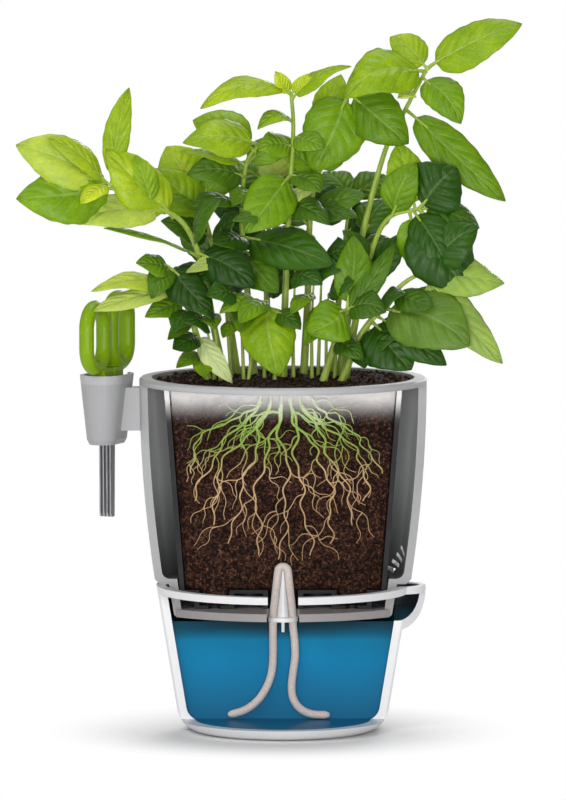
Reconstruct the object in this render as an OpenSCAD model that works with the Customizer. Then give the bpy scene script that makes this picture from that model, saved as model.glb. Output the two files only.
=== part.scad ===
// Self watering herb planter, shown as a cutaway: the front of each shell is open, the rim rings are whole.
// Millimetres. Origin at the centre of the reservoir's foot, +Z up, the open front faces -Y.

/* [Reservoir] */
// Height of the reservoir, from its foot to its rim
reservoir_h = 71.5; // [60:0.5:90]
// Wall of the reservoir
reservoir_wall = 4.5; // [3:0.1:6]
// Floor of the reservoir
reservoir_floor = 4.5; // [3:0.1:6]
// Lean of the wall from upright, in degrees
reservoir_draft = 9.4; // [5:0.1:12]
// Radius of the corner between wall and foot
reservoir_corner_r = 12; // [8:0.5:16]
// Height of the whole ring at the rim
reservoir_ring_h = 3.6; // [3:0.1:8]
// Radius of the spout
spout_r = 14; // [11:0.5:18]
// How far the spout's lip stands out past the rim
spout_reach = 7.8; // [7.2:0.1:10]
// Depth of the spout below the rim
spout_depth = 22.6; // [16:0.2:28]
// Wall of the spout
spout_wall = 2.9; // [2:0.1:3.2]
// Thickness of the spout's bottom
spout_floor = 4.6; // [2:0.1:6]
// Gap between the water and the flange of the spike above it
water_gap = 0.6; // [0.4:0.1:20]

/* [Outer pot] */
// Outer diameter of the rim
pot_rim_d = 140; // [132:1:170]
// Outer diameter at the foot
pot_foot_d = 124.4; // [118:0.2:132]
// Height of the pot above the reservoir
pot_h = 101.5; // [90:0.5:130]
// Wall of the pot
pot_wall = 4; // [3:0.1:5]
// Width of the rim's top
rim_w = 6; // [5:0.1:8]
// Height of the whole rim ring
rim_h = 3.2; // [2.6:0.1:7]
// Thickness of the shoulder that rests on the reservoir
shoulder_t = 2.6; // [2.4:0.1:6]
// Depth of the foot tray below the shoulder
tray_depth = 16; // [12:0.5:20]
// Floor of the foot tray
tray_floor = 3.8; // [2.5:0.1:5]
// Wall of the foot tray
tray_wall = 4; // [2:0.1:4.4]
// How far the floor of the tray curves out past the cut
tray_lip = 24; // [12:1:30]
// Number of vent slots in the wall
vent_count = 4; // [2:1:5]
// Length of a vent slot
vent_l = 10; // [6:0.5:12]
// Height of a vent slot
vent_h = 2.1; // [1.5:0.1:2.4]

/* [Nursery pot] */
// Wall of the nursery pot
nursery_wall = 2.4; // [1.5:0.1:3]
// Floor of the nursery pot
nursery_floor = 1.7; // [1.5:0.1:3]
// Lean of the nursery pot's wall from upright, in degrees
nursery_draft = 4.4; // [2:0.1:4.6]
// Thickness of the nursery pot's flange
flange_t = 1.5; // [1.2:0.1:3]
// Height of the feet under the floor
foot_h = 7.6; // [6:0.1:12]
// Outer diameter of a foot
foot_d = 19.6; // [17.5:0.2:21]
// Radius of the ring of feet
foot_ring_r = 33.5; // [30:0.5:36]
// Number of feet in the ring
foot_count = 6; // [4:2:8]
// Diameter of a drain hole in a foot
drain_d = 6; // [4:0.5:8]
// Depth of the soil below the pot's rim, at its edge
soil_drop = 1.2; // [1:0.1:6]
// Rise of the soil towards the middle
soil_crown = 2.5; // [1:0.5:5]

/* [Wick] */
// Diameter of the wick
wick_d = 3.8; // [3:0.1:4]
// Diameter of the spike at its base
spike_base_d = 5.9; // [5:0.1:6]
// Height of the spike above its flange
spike_h = 22.6; // [20:0.2:23]
// Diameter of the spike's flange
spike_flange_d = 14.6; // [14.4:0.1:17]
// Thickness of the spike's flange
spike_flange_t = 2; // [1.5:0.1:2.2]
// Diameter of the pull stem
pull_d = 1.7; // [1.5:0.1:3]
// Length of the pull stem
pull_l = 5.5; // [4:0.5:12]

/* [Scissor sleeve] */
// Height of the sleeve
sleeve_h = 34; // [32:0.5:40]
// Length of the sleeve's mouth
sleeve_top_l = 33; // [32:0.2:38]
// Width of the sleeve's mouth
sleeve_top_w = 22; // [20:0.2:26]
// Length of the sleeve's bottom
sleeve_bottom_l = 26.6; // [26.4:0.2:32]
// Width of the sleeve's bottom
sleeve_bottom_w = 15; // [14.6:0.2:20]
// Wall of the sleeve
sleeve_wall = 1.8; // [1.4:0.1:2.2]
// Floor of the sleeve
sleeve_floor = 3; // [2:0.1:4]
// How far the sleeve's mouth stands above the pot's rim
sleeve_rise = 1.5; // [-2:0.5:6]
// Gap between the sleeve and the pot's rim
sleeve_gap = 2.7; // [2:0.1:6]
// Turn of the scissors away from the pot's side, in degrees
sleeve_turn = 22; // [18:1:26]
// Height of the bracket
bracket_h = 21; // [14:0.5:24]
// Thickness of the bracket
bracket_t = 9; // [6:0.5:12]

/* [Scissors] */
// Number of blades in each half
blade_count = 4; // [2:1:4]
// Thickness of a blade
blade_t = 0.6; // [0.5:0.05:0.65]
// Length of a blade below the pivot
blade_l = 49; // [44:1:60]
// Width of a blade
blade_w = 5.8; // [5:0.1:6.2]
// Thickness of a spacer ring between two pairs
spacer_t = 0.5; // [0.4:0.05:0.6]
// Radius of the round boss at the pivot
boss_r = 10; // [9:0.1:10.3]
// Thickness of a handle's cheek at the pivot
cheek_t = 1.7; // [1.5:0.1:1.9]
// Diameter of the pivot screw
pivot_d = 4; // [3:0.1:4.4]
// Width of a finger loop's opening
loop_w = 14; // [13:0.5:20]
// Height of the front finger loop's opening
front_loop_h = 23; // [21:0.5:32]
// Height of the back finger loop's opening
back_loop_h = 26; // [21:0.5:36]
// Width of a finger loop's limb, in the plane of the loop
limb_w = 6.8; // [4:0.1:7]
// Thickness of a finger loop's limb
limb_t = 7; // [5:0.1:8]
// How far the scissors open, in degrees
open_angle = 25; // [15:1:25]

/* [Plant] */
// Height of the plant above the soil
plant_h = 176; // [150:1:190]
// Diameter of a stem at the soil
stem_d = 3.8; // [3:0.1:5]
// Thickness of a leaf
leaf_t = 0.8; // [0.6:0.1:1]
// Depth of the roots
root_depth = 86; // [60:1:88]
// Diameter of a root at the crown
root_d = 2.4; // [1.6:0.1:3]
// Reach of the roots to each side
root_reach = 46; // [35:1:47]

/* [Hidden] */
$fn = 96;

// Clearances
run_clear = 0.3;
slip_clear = 0.05;
pin_clear = 0.06;
seat_clear = 0.6;

// The cut: shells end at the middle plane, soil and water a little behind it, past the spike
cut_half = 400;
face_y = max(spike_base_d, wick_d) / 2 + run_clear;

// Reservoir
rim_step = 0.4;
reservoir_r = pot_foot_d / 2 - rim_step;
reservoir_in_r = reservoir_r - reservoir_wall / cos(reservoir_draft);
water_film = 0.6;
lip_z = reservoir_floor + water_film + 0.2;
spout_x = reservoir_r + spout_reach - spout_r;
spout_lip_h = 2;
notch_w = 2 * (wick_d + spike_base_d / 2) + 1.2;

// Outer pot
seam_z = reservoir_h;
pot_z = seam_z + pot_h;
pot_r = pot_rim_d / 2;
pot_bulge = pot_r - pot_foot_d / 2;
pot_bow_r = (pot_h * pot_h + pot_bulge * pot_bulge) / (2 * pot_bulge);
rim_in_r = pot_r - rim_w;
rim_z = pot_z - rim_h;
edge_r = 1;
foot_edge_r = 2.5;
inner_corner_r = 4;
tray_gap = 1.6;
tray_z = seam_z - tray_depth;
tray_floor_z = tray_z + tray_floor;
tray_lip_r = (tray_r(tray_z) * tray_r(tray_z) + tray_lip * tray_lip) / (2 * tray_lip);
inner_corner_z = seam_z + shoulder_t + inner_corner_r;
vent_z = seam_z + shoulder_t + vent_h;
vent_pitch = 3.3;
vent_angle = 25.5;
vent_angle_step = 4;
vent_tilt = 4;
vent_tilt_step = 6.5;

// Nursery pot and soil
soil_z = pot_z - soil_drop;
soil_edge = 1;
flange_z = soil_z - soil_edge;
nursery_z = tray_floor_z + foot_h;
nursery_r = tray_r(nursery_z) - tray_wall - seat_clear;
flange_r = rim_in_r - seat_clear;
nursery_top_z = flange_z - flange_t;
soil_r = flange_r - 0.5;

// Wick and spike
wick_r = wick_d / 2;
wick_x = spike_base_d / 2 + wick_r + slip_clear;
spike_tip_r = 0.4;
wick_slot_l = 2 * (wick_x + wick_r + run_clear);
wick_slot_w = spike_base_d + 2 * run_clear;
wick_exit_z = tray_z - spike_flange_t;
wick_sides = 8;
loop_bend_r = wick_r + spike_tip_r + 3 * slip_clear;
water_depth = wick_exit_z - water_gap - reservoir_floor;
water_z = reservoir_floor + water_depth;

// Free legs of the wick, as [distance out from the flange's hole, share of the drop to the reservoir's floor]
wick_rest_z = reservoir_floor + water_film + run_clear + wick_r;
left_leg_route = [[0, 1], [0, 0.82], [0, 0.63], [0.7, 0.45], [3.3, 0.29], [7.7, 0.15], [14, 0.05], [22, 0]];
right_leg_route = [
    [0, 1], [0, 0.93], [0.7, 0.8], [1, 0.63], [0, 0.46],
    [-0.7, 0.31], [0, 0.18], [3.4, 0.07], [9.2, 0.01], [18, 0]
];

// Sleeve
sleeve_z = pot_z + sleeve_rise - sleeve_h;
sleeve_half_x = (sleeve_top_l - sleeve_top_w) / 2 * sin(sleeve_turn) + sleeve_top_w / 2;
sleeve_x = -(pot_r + sleeve_gap + sleeve_half_x);
sleeve_edge = 2.5;
bracket_z = sleeve_z + 6.6;
blade_drop = sleeve_floor + run_clear + boss_r;

// Scissors, in a frame at the pivot: X along the pivot, Y across, Z up
pivot_z = sleeve_z + blade_drop;
pair_t = 2 * blade_t + slip_clear;
pair_pitch = pair_t + spacer_t + 2 * slip_clear;
stack_t = blade_count * pair_pitch - spacer_t - 2 * slip_clear;
cheek_x = stack_t / 2 + slip_clear;
handle_half_t = cheek_x + cheek_t;
pivot_r = pivot_d / 2;
head_r = 2 * pivot_r;
head_t = 1;
blade_back = 2.2;
blade_tip_back = 1.4;
slot_front = blade_drop * tan(open_angle) + (blade_w - blade_back) / cos(open_angle) + run_clear;
slot_back = blade_w - blade_back + 2 * run_clear;
tang_r = 5.5;
tang_w = 6;
tang_lean = 2.4;
tang_top = 17;
half_gap = 0.4;
shank_z = tang_r + 0.7;
shank_w = boss_r + 0.6;
shank_top = 24;
loop_y = half_gap + 0.2 + limb_w + loop_w / 2;
loop_bottom = sleeve_z + sleeve_h - pivot_z + run_clear;

// Plant
plant_sink = 1.8;
plant_z = soil_z - plant_sink;
stem_sides = 8;
stem_taper = 0.55;
thin_share = 0.5;
thin_sides = 6;
stem_foot = 0.4;
root_count = 11;
root_fan = 78;
root_crown = 12;
root_sides = 6;
root_tip_d = 0.8;
root_steps = 9;
root_wave = 2;
root_settle = 10;
root_fork = 26;
drawn_h = 176;

// Routes of the shoots of a plant of the drawn height, as [x, y, height above the soil]
left_shoot = [[-28, -4, 0], [-34, -8, 30], [-39, -13, 58], [-48, -21, 79], [-63, -30, 89], [-85, -38, 100]];
left_back_shoot = [[-22, 12, 0], [-28, 14, 40], [-36, 17, 72], [-42, 19, 92]];
low_left_shoot = [[-36, -12, 0], [-42, -16, 25], [-49, -20, 45], [-55, -24, 58]];
inner_left_shoot = [[-14, 6, 0], [-17, 5, 40], [-20, 4, 79], [-18, 3, 106], [-12, 1, 116]];
middle_shoot = [[0, -8, 0], [1, -7, 40], [3, -4, 89], [5, -2, 123], [4, -2, 141]];
inner_right_shoot = [[10, 6, 0], [12, 6, 40], [14, 7, 89], [23, 6, 124], [32, 4, 141]];
tall_shoot = [[27, 2, 0], [33, 2, 40], [39, 3, 74], [50, 4, 114], [59, 5, 132], [70, 5, 153]];
right_shoot = [[30, -8, 0], [37, -9, 40], [44, -12, 68], [52, -14, 82], [66, -16, 86]];
low_right_shoot = [[28, -20, 0], [37, -22, 24], [49, -23, 40], [58, -23, 50], [68, -22, 56]];
front_shoot = [[19, -24, 0], [25, -27, 22], [31, -30, 38]];
back_shoot = [[-6, 30, 0], [-8, 33, 45], [-6, 35, 92]];
back_right_shoot = [[24, 28, 0], [28, 31, 45], [33, 33, 88]];
MAIN_SHOOTS = [
    left_shoot, left_back_shoot, low_left_shoot, inner_left_shoot, middle_shoot, inner_right_shoot,
    tall_shoot, right_shoot, low_right_shoot, front_shoot, back_shoot, back_right_shoot
];
THIN_SHOOTS = [
    [[-33, -16, 0], [-35, -18, 18], [-38, -20, 34]], [[-30, -22, 0], [-32, -23, 20], [-34, -25, 36]],
    [[-25, -8, 0], [-27, -9, 28], [-29, -11, 50]], [[-19, -16, 0], [-20, -17, 26], [-22, -19, 44]],
    [[-17, -18, 0], [-14, -18, 24], [-12, -18, 42]], [[-9, -12, 0], [-9, -13, 22], [-8, -14, 41]],
    [[-4, -22, 0], [-4, -21, 20], [-3, -20, 36]], [[5, -14, 0], [5, -15, 30], [6, -16, 56]],
    [[14, -12, 0], [14, -12, 30], [15, -12, 52]], [[17, -4, 0], [18, -4, 32], [19, -5, 60]],
    [[21, -16, 0], [21, -16, 26], [22, -17, 44]], [[25, -10, 0], [26, -10, 30], [28, -11, 54]]
];
SHOOTS = concat(MAIN_SHOOTS, THIN_SHOOTS);

// Leaves of each shoot: share of the way up the shoot, tip, width, tilt from facing front to facing up, arch
left_leaves = [
    [1, [-128, -44, 119], 26, 25, 5], [0.95, [-127, -52, 94], 30, 15, 4], [1, [-113, -50, 122], 13, 40, 4],
    [0.98, [-74, -40, 146], 13, -10, -6], [0.74, [-101, -46, 82], 20, 35, 5], [1, [-97, -54, 92], 12, 60, 2],
    [0.7, [-84, -36, 116], 26, 30, 4], [0.5, [-86, -42, 79], 13, 80, 3], [0.8, [-71, -34, 113], 14, 20, 3],
    [0.52, [-14, -30, 50], 22, 25, 4], [0.55, [-32, -34, 92], 16, 50, 4]
];
left_back_leaves = [
    [1, [-57, 22, 114], 26, 20, 3], [0.9, [-61, 4, 93], 16, 60, 4], [0.95, [-24, 30, 108], 18, 50, 4],
    [0.6, [-50, 38, 70], 20, 60, 4], [0.5, [-52, 2, 56], 19, 40, 5], [0.85, [-62, 8, 104], 22, 25, 4],
    [0.75, [-58, 6, 80], 18, 40, 4], [0.7, [-22, -6, 84], 19, 40, 4]
];
low_left_leaves = [
    [1, [-70, -36, 62], 15, 40, 3], [0.85, [-92, -40, 49], 14, 55, 4], [0.72, [-66, -36, 36], 13, 30, 2],
    [0.42, [-53, -37, 20], 13, 20, 3], [0.22, [-38, -38, 6], 11, 20, 3], [0.42, [-25, -38, 4], 11, 10, 2],
    [0.85, [-60, -14, 50], 17, 45, 4], [1, [-63, -40, 45], 13, 15, 4], [1, [-34, -36, 37], 20, 40, 4],
    [0.6, [-52, -38, 30], 15, 30, 4], [0.55, [-55, -38, 25], 8, 10, 2], [0.25, [-51, -35, 11], 9, 25, 3],
    [0.82, [-91, -44, 39], 12, 40, 2]
];
inner_left_leaves = [
    [1, [-48, -8, 119], 22, 35, 6], [0.97, [-44, 14, 128], 22, 30, 4], [0.9, [-50, 0, 114], 13, 70, 3],
    [0.85, [-45, -14, 104], 20, 35, 4], [0.72, [-43, -20, 90], 16, 60, 5], [0.42, [-41, -24, 58], 23, 25, 4],
    [0.34, [-21, -38, 28], 15, 40, 4], [0.55, [-3, -28, 47], 20, 15, 4], [0.6, [-34, -26, 70], 16, 30, 4],
    [0.58, [-46, -32, 57], 10, 10, 2], [0.8, [-24, -18, 88], 14, 30, 4], [0.9, [2, 16, 120], 16, 40, 4],
    [0.6, [24, -30, 60], 23, 25, 5]
];
middle_leaves = [
    [1, [-40, -12, 135], 18, 60, 10], [1, [-3, -8, 152], 8, 20, 1], [1, [13, -6, 151], 8, 20, 1],
    [0.98, [32, -10, 156], 14, 60, 4], [0.9, [-12, -14, 126], 12, 60, 6], [0.82, [-11, -14, 116], 15, 30, 2],
    [0.72, [-18, -24, 75], 25, 15, 5], [0.72, [18, -20, 94], 15, 50, 3], [0.6, [-24, -26, 82], 12, 30, 3],
    [0.62, [22, -24, 80], 15, 40, 4], [0.85, [20, -12, 116], 14, 40, 3]
];
inner_right_leaves = [
    [1, [15, -6, 104], 31, 8, 4], [1, [60, -10, 118], 26, 5, 4], [0.7, [36, 18, 130], 20, 30, 3],
    [0.67, [-2, -14, 84], 9, 60, 3], [0.59, [36, -8, 82], 17, 45, 4], [0.52, [-6, 26, 86], 20, 50, 4],
    [0.85, [28, 10, 150], 18, 40, 4], [0.56, [40, -2, 92], 17, 40, 4], [0.37, [-12, 4, 70], 19, 35, 4],
    [0.7, [-6, 0, 122], 14, 40, 3]
];
tall_leaves = [
    [1, [115, -4, 176], 24, 35, 4], [1, [52, 12, 168], 17, 30, 3], [0.99, [30, -12, 142], 27, 35, 7],
    [0.97, [86, -10, 128], 19, 20, 4], [0.86, [108, -6, 89], 20, 15, 6], [0.45, [54, 18, 90], 18, 45, 4],
    [0.92, [56, -6, 140], 8, 40, 2], [0.3, [52, 14, 62], 20, 40, 4]
];
right_leaves = [
    [0.86, [64, -20, 108], 18, 10, 3], [0.98, [56, -8, 118], 20, 20, 4], [1, [90, -24, 46], 34, 20, 8],
    [0.95, [68, -14, 52], 22, 20, 5], [1, [96, -12, 78], 22, 40, 6], [0.5, [58, -6, 74], 16, 40, 3],
    [0.97, [80, -28, 58], 20, 10, 6], [0.6, [30, -26, 76], 12, 30, 3], [1, [84, -18, 106], 30, 15, 4]
];
low_right_leaves = [
    [1, [93, -28, 79], 23, 20, 4], [1, [107, -26, 51], 22, 30, 4], [0.97, [106, -32, 12], 19, 25, 6],
    [0.62, [90, -44, 22], 34, 25, 6], [0.58, [58, -36, 47], 18, 50, 4], [0.5, [62, -34, 9], 28, 30, 5],
    [0.45, [50, -32, 12], 14, 30, 3], [1, [95, -14, 60], 17, 60, 4], [0.55, [79, -34, 12], 18, 25, 4],
    [0.75, [72, -40, 40], 15, 30, 3], [0.3, [56, -34, 26], 15, 35, 3], [0.3, [39, -38, 11], 12, 10, 3]
];
front_leaves = [
    [1, [34, -34, 74], 18, -10, -3], [1, [12, -42, 28], 24, 25, 5], [1, [49, -40, 39], 18, 40, 4],
    [0.9, [54, -24, 70], 12, 30, 3], [0.6, [38, -42, 16], 13, 35, 3]
];
back_leaves = [
    [1, [-26, 42, 104], 22, 55, 4], [1, [14, 44, 106], 22, 55, 4], [0.7, [-30, 48, 74], 22, 50, 4],
    [0.7, [16, 50, 70], 22, 50, 4], [1, [-4, 36, 120], 17, 20, 3], [0.5, [8, 18, 48], 22, 30, 4],
    [0.75, [-34, 22, 84], 20, 30, 4]
];
back_right_leaves = [
    [1, [56, 40, 98], 21, 55, 4], [1, [20, 46, 100], 19, 60, 4], [0.7, [54, 46, 66], 21, 50, 4],
    [0.8, [48, 22, 80], 20, 30, 4], [0.9, [10, 24, 90], 20, 30, 4]
];
MAIN_LEAVES = [
    left_leaves, left_back_leaves, low_left_leaves, inner_left_leaves, middle_leaves, inner_right_leaves,
    tall_leaves, right_leaves, low_right_leaves, front_leaves, back_leaves, back_right_leaves
];
THIN_LEAVES = [
    [[1, [-33, -38, 30], 11, 55, 3], [0.9, [-46, -36, 34], 16, 30, 3]], [[1, [-44, -38, 40], 17, 35, 4]],
    [[1, [-42, -26, 54], 18, 35, 4]], [[1, [-36, -36, 46], 15, 30, 4], [0.7, [-29, -37, 25], 9, 60, 3]],
    [[1, [-30, -34, 38], 12, 40, 3]],
    [[1, [-2, -41, 7], 27, 20, 6], [1, [-21, -40, 33], 13, 35, 4]], [[1, [8, -36, 30], 12, 30, 3]],
    [[1, [18, -32, 52], 16, 30, 3]], [[0.85, [4, -38, 38], 10, 70, 3], [1, [26, -30, 58], 14, 30, 3]],
    [[1, [32, -20, 66], 17, 30, 3]], [[0.9, [11, -41, 22], 12, 20, 3], [1, [34, -32, 52], 13, 30, 3]],
    [[1, [44, -26, 58], 17, 30, 3]]
];
LEAVES = concat(MAIN_LEAVES, THIN_LEAVES);

// Half width of a leaf along its length, from the end of its stalk to its tip
leaf_shape = [[0.12, 0.16], [0.33, 0.95], [0.64, 0.88], [1, 0.04]];
leaf_fold = -0.2;
stalk_r = 1;
stalk_sides = 4;

// Points on an arc around c, from angle a0 to a1
function arc(c, r, a0, a1, n) = [for (i = [0:n]) let (a = a0 + (a1 - a0) * i / n) c + r * [cos(a), sin(a)]];

// Section of a round bowl with a leaning wall, filled to the axis
function bowl(top_r, z0, z1, corner_r, draft) =
    let (c = top_r - (corner_r + (z1 - z0 - corner_r) * sin(draft)) / cos(draft))
    concat([[0, z0]], arc([c, z0 + corner_r], corner_r, -90, -draft, 8), [[top_r, z1], [0, z1]]);

// Inner radius of the reservoir, outer radius of the tray, and the pot's and nursery pot's outer radius
function reservoir_in(z) = reservoir_in_r - (reservoir_h - z) * tan(reservoir_draft);
function tray_r(z) = reservoir_in(z) - tray_gap;
function pot_out(z) = pot_r - pot_bow_r + sqrt(pot_bow_r * pot_bow_r - (pot_z - z) * (pot_z - z));
function nursery_out(z) = nursery_r + (z - nursery_z) * tan(nursery_draft);

function unit(v) = v / norm(v);
function tangent(p, i) = unit(p[min(i + 1, len(p) - 1)] - p[max(i - 1, 0)]);
function ring(c, t, r, n) =
    let (a = unit(cross(t, [0, 1, 0])), b = cross(a, t))
    [for (k = [0:n - 1]) c + r * (a * cos(360 * k / n) + b * sin(360 * k / n))];

// Point at a share of the way along a route
function lengths(p) = [for (i = [1:len(p) - 1]) norm(p[i] - p[i - 1])];
function sum(v, n) = n <= 0 ? 0 : v[n - 1] + sum(v, n - 1);
function along(p, share, i = 1) =
    let (d = lengths(p), s = share * sum(d, len(d)))
    i >= len(p) - 1 || s <= sum(d, i)
        ? p[i - 1] + (p[i] - p[i - 1]) * (s - sum(d, i - 1)) / d[i - 1]
        : along(p, share, i + 1);

// Tube swept along a path, with one radius for each point
module tube(path, radii, sides) {
    last = len(path) - 1;
    points = [for (i = [0:last]) each ring(path[i], tangent(path, i), radii[i], sides)];
    walls = [
        for (i = [0:last - 1], k = [0:sides - 1])
            let (a = i * sides + k, b = i * sides + (k + 1) % sides)
            each [[a, b, a + sides], [b, b + sides, a + sides]]
    ];
    caps = [
        for (k = [1:sides - 2])
            each [[0, k + 1, k], [last * sides, last * sides + k, last * sides + k + 1]]
    ];
    polyhedron(points, concat(walls, caps));
}

// Space in front of the middle plane, between two heights
module front(z0, z1) translate([-cut_half, -cut_half, z0]) cube([2 * cut_half, cut_half, z1 - z0]);

// Space behind the faces of soil and water
module behind() translate([-cut_half, face_y, -cut_half]) cube(2 * cut_half);

module spout(r, depth, top) {
    bowl_z = reservoir_h - spout_lip_h;
    outline = [for (i = [0:8]) [r * sin(i * 90 / 8), bowl_z - (depth - spout_lip_h) * cos(i * 90 / 8)]];
    translate([spout_x, 0, 0]) rotate_extrude() polygon(concat(outline, [[r, top], [0, top]]));
}

module reservoir() color("white") difference() {
    union() {
        rotate_extrude() polygon(bowl(reservoir_r, 0, reservoir_h, reservoir_corner_r, reservoir_draft));
        spout(spout_r, spout_depth, reservoir_h);
    }
    rotate_extrude() polygon(reservoir_space(reservoir_h + 1));
    spout(spout_r - spout_wall, spout_depth - spout_floor, reservoir_h + 1);
    front(lip_z, reservoir_h - reservoir_ring_h);
    translate([-notch_w / 2, -cut_half, lip_z]) cube([notch_w, cut_half, reservoir_h]);
}

// Section of the space inside the reservoir, up to a height
function reservoir_space(z) =
    bowl(reservoir_in(z), reservoir_floor, z, reservoir_corner_r - reservoir_wall, reservoir_draft);

module water() color([0.1, 0.5, 0.7, 0.8]) union() {
    intersection() {
        rotate_extrude() polygon(reservoir_space(water_z));
        behind();
    }
    intersection() {
        rotate_extrude() polygon(reservoir_space(water_z));
        translate([0, 0, reservoir_floor - 1]) cylinder(r = pot_r, h = water_film + 1);
    }
}

// Section of the outer pot, and of the same pot as a solid block
function pot_outside(gap) = concat(
    [[pot_out(seam_z + foot_edge_r) - foot_edge_r + gap, seam_z - gap]],
    [for (i = [0:12])
        let (z = seam_z + foot_edge_r + i * (pot_h - foot_edge_r - edge_r) / 12)
        [pot_out(z) + gap, z]],
    [[pot_r - edge_r + gap, pot_z + gap]]
);
function pot_inside() = concat(
    [[rim_in_r, pot_z], [rim_in_r, rim_z]],
    [for (i = [0:10])
        let (z = rim_z - i * (rim_z - inner_corner_z) / 10)
        [pot_out(z) - pot_wall, z]],
    arc([pot_out(inner_corner_z) - pot_wall - inner_corner_r, inner_corner_z], inner_corner_r, -22.5, -90, 3),
    [[tray_r(seam_z) - tray_wall, seam_z + shoulder_t]],
    [[tray_r(tray_floor_z) - tray_wall, tray_floor_z], [0, tray_floor_z]]
);

module outer_pot() color("darkgray") {
    difference() {
        rotate_extrude() polygon(concat(
            [[0, tray_z], [tray_r(tray_z) - edge_r, tray_z]],
            [[tray_r(tray_z + edge_r), tray_z + edge_r], [tray_r(seam_z), seam_z]],
            pot_outside(0),
            pot_inside()
        ));
        front(0, rim_z);
        wick_slot(tray_z, tray_floor);
        for (i = [0:vent_count - 1])
            rotate([0, 0, vent_angle - i * vent_angle_step])
                translate([pot_out(vent_z), 0, vent_z + i * vent_pitch])
                    rotate([vent_tilt + i * vent_tilt_step, 0, 0])
                        cube([4 * pot_wall, vent_l, vent_h], center = true);
    }
    tray_front();
}

// The floor of the tray ends in a shallow curve in front of the cut, open in the middle for the wick
module tray_front() translate([0, 0, tray_z]) linear_extrude(tray_floor) difference() {
    intersection() {
        circle(r = tray_r(tray_z) - edge_r);
        translate([0, tray_lip_r - tray_lip]) circle(r = tray_lip_r);
        translate([-cut_half, 1 - cut_half]) square([2 * cut_half, cut_half]);
    }
    translate([-spike_flange_d / 2 - seat_clear, -cut_half])
        square([spike_flange_d + 2 * seat_clear, 2 * cut_half]);
}

// Long hole that the spike and the wick go up through
module wick_slot(z, t) translate([0, 0, z - 1]) linear_extrude(t + 2) {
    square([wick_slot_l - wick_slot_w, wick_slot_w], center = true);
    for (s = [-1, 1]) translate([s * (wick_slot_l - wick_slot_w) / 2, 0]) circle(d = wick_slot_w);
}

module wick_spike() color("whitesmoke") difference() {
    union() {
        translate([0, 0, wick_exit_z]) cylinder(d = spike_flange_d, h = spike_flange_t);
        translate([0, 0, tray_z]) cylinder(d1 = spike_base_d, r2 = spike_tip_r, h = spike_h);
        translate([0, 0, wick_exit_z - pull_l]) cylinder(d = pull_d, h = pull_l + spike_flange_t);
    }
    for (s = [-1, 1])
        translate([s * wick_x, 0, wick_exit_z - 1]) cylinder(r = wick_r + slip_clear, h = spike_flange_t + 2);
}

// The wick leans on the spike and bends over its tip
module wick_loop() {
    bend_z = tray_z + spike_h - spike_tip_r;
    side = [
        [wick_x, wick_exit_z], [wick_x, tray_z],
        for (i = [1:3]) [wick_x + (loop_bend_r - wick_x) * i / 3, tray_z + (bend_z - tray_z) * i / 3]
    ];
    bend = [for (a = [30:30:150]) [loop_bend_r * cos(a), bend_z + loop_bend_r * sin(a)]];
    back = [for (i = [len(side) - 1:-1:0]) [-side[i].x, side[i].y]];
    color("linen") wick(concat(side, bend, back));
}

module wick_left_leg() color("linen") wick(leg_way(left_leg_route, -1));
module wick_right_leg() color("linen") wick(leg_way(right_leg_route, 1));
function leg_way(route, s) =
    [for (p = route) [s * (wick_x + p.x), wick_rest_z + (wick_exit_z - wick_rest_z) * p.y]];
module wick(route) tube([for (p = route) [p.x, 0, p.y]], [for (p = route) wick_r], wick_sides);

module nursery_pot() color([0.1, 0.1, 0.12]) difference() {
    union() {
        rotate_extrude() polygon([
            [0, nursery_z], [nursery_r, nursery_z], [nursery_out(nursery_top_z), nursery_top_z],
            [flange_r, nursery_top_z], [flange_r, flange_z], [0, flange_z]
        ]);
        feet(foot_d / 2, tray_floor_z, nursery_z + nursery_floor);
    }
    soil_space();
    for (p = foot_places()) translate([p.x, p.y, tray_floor_z - 1]) cylinder(d = drain_d, h = foot_h);
    translate([0, 0, tray_floor_z - 1]) cylinder(r = foot_d / 2 - nursery_wall, h = foot_h);
    front(0, nursery_top_z);
}

// Places of the feet: one in the middle, the others in a ring
function foot_places() =
    [for (i = [0:foot_count - 1]) foot_ring_r * [cos(i * 360 / foot_count), sin(i * 360 / foot_count)]];
module feet(r, z0, z1) for (p = concat([[0, 0]], foot_places()))
    translate([p.x, p.y, z0]) cylinder(r = r, h = z1 - z0);

// Space inside the nursery pot
module soil_space() {
    rotate_extrude() polygon([
        [0, nursery_z + nursery_floor],
        [nursery_out(nursery_z + nursery_floor) - nursery_wall, nursery_z + nursery_floor],
        [nursery_out(flange_z + 1) - nursery_wall, flange_z + 1], [0, flange_z + 1]
    ]);
    feet(foot_d / 2 - nursery_wall, tray_floor_z + nursery_floor, nursery_z + nursery_floor + 1);
}

// The soil fills the pot behind the cut, and its top layer lies whole on the flange
module potting_soil() color("saddlebrown") union() {
    intersection() {
        soil_space();
        behind();
    }
    rotate_extrude() polygon([
        [0, flange_z], [soil_r, flange_z], [soil_r - soil_edge, soil_z], [0, soil_z + soil_crown]
    ]);
}

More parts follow.
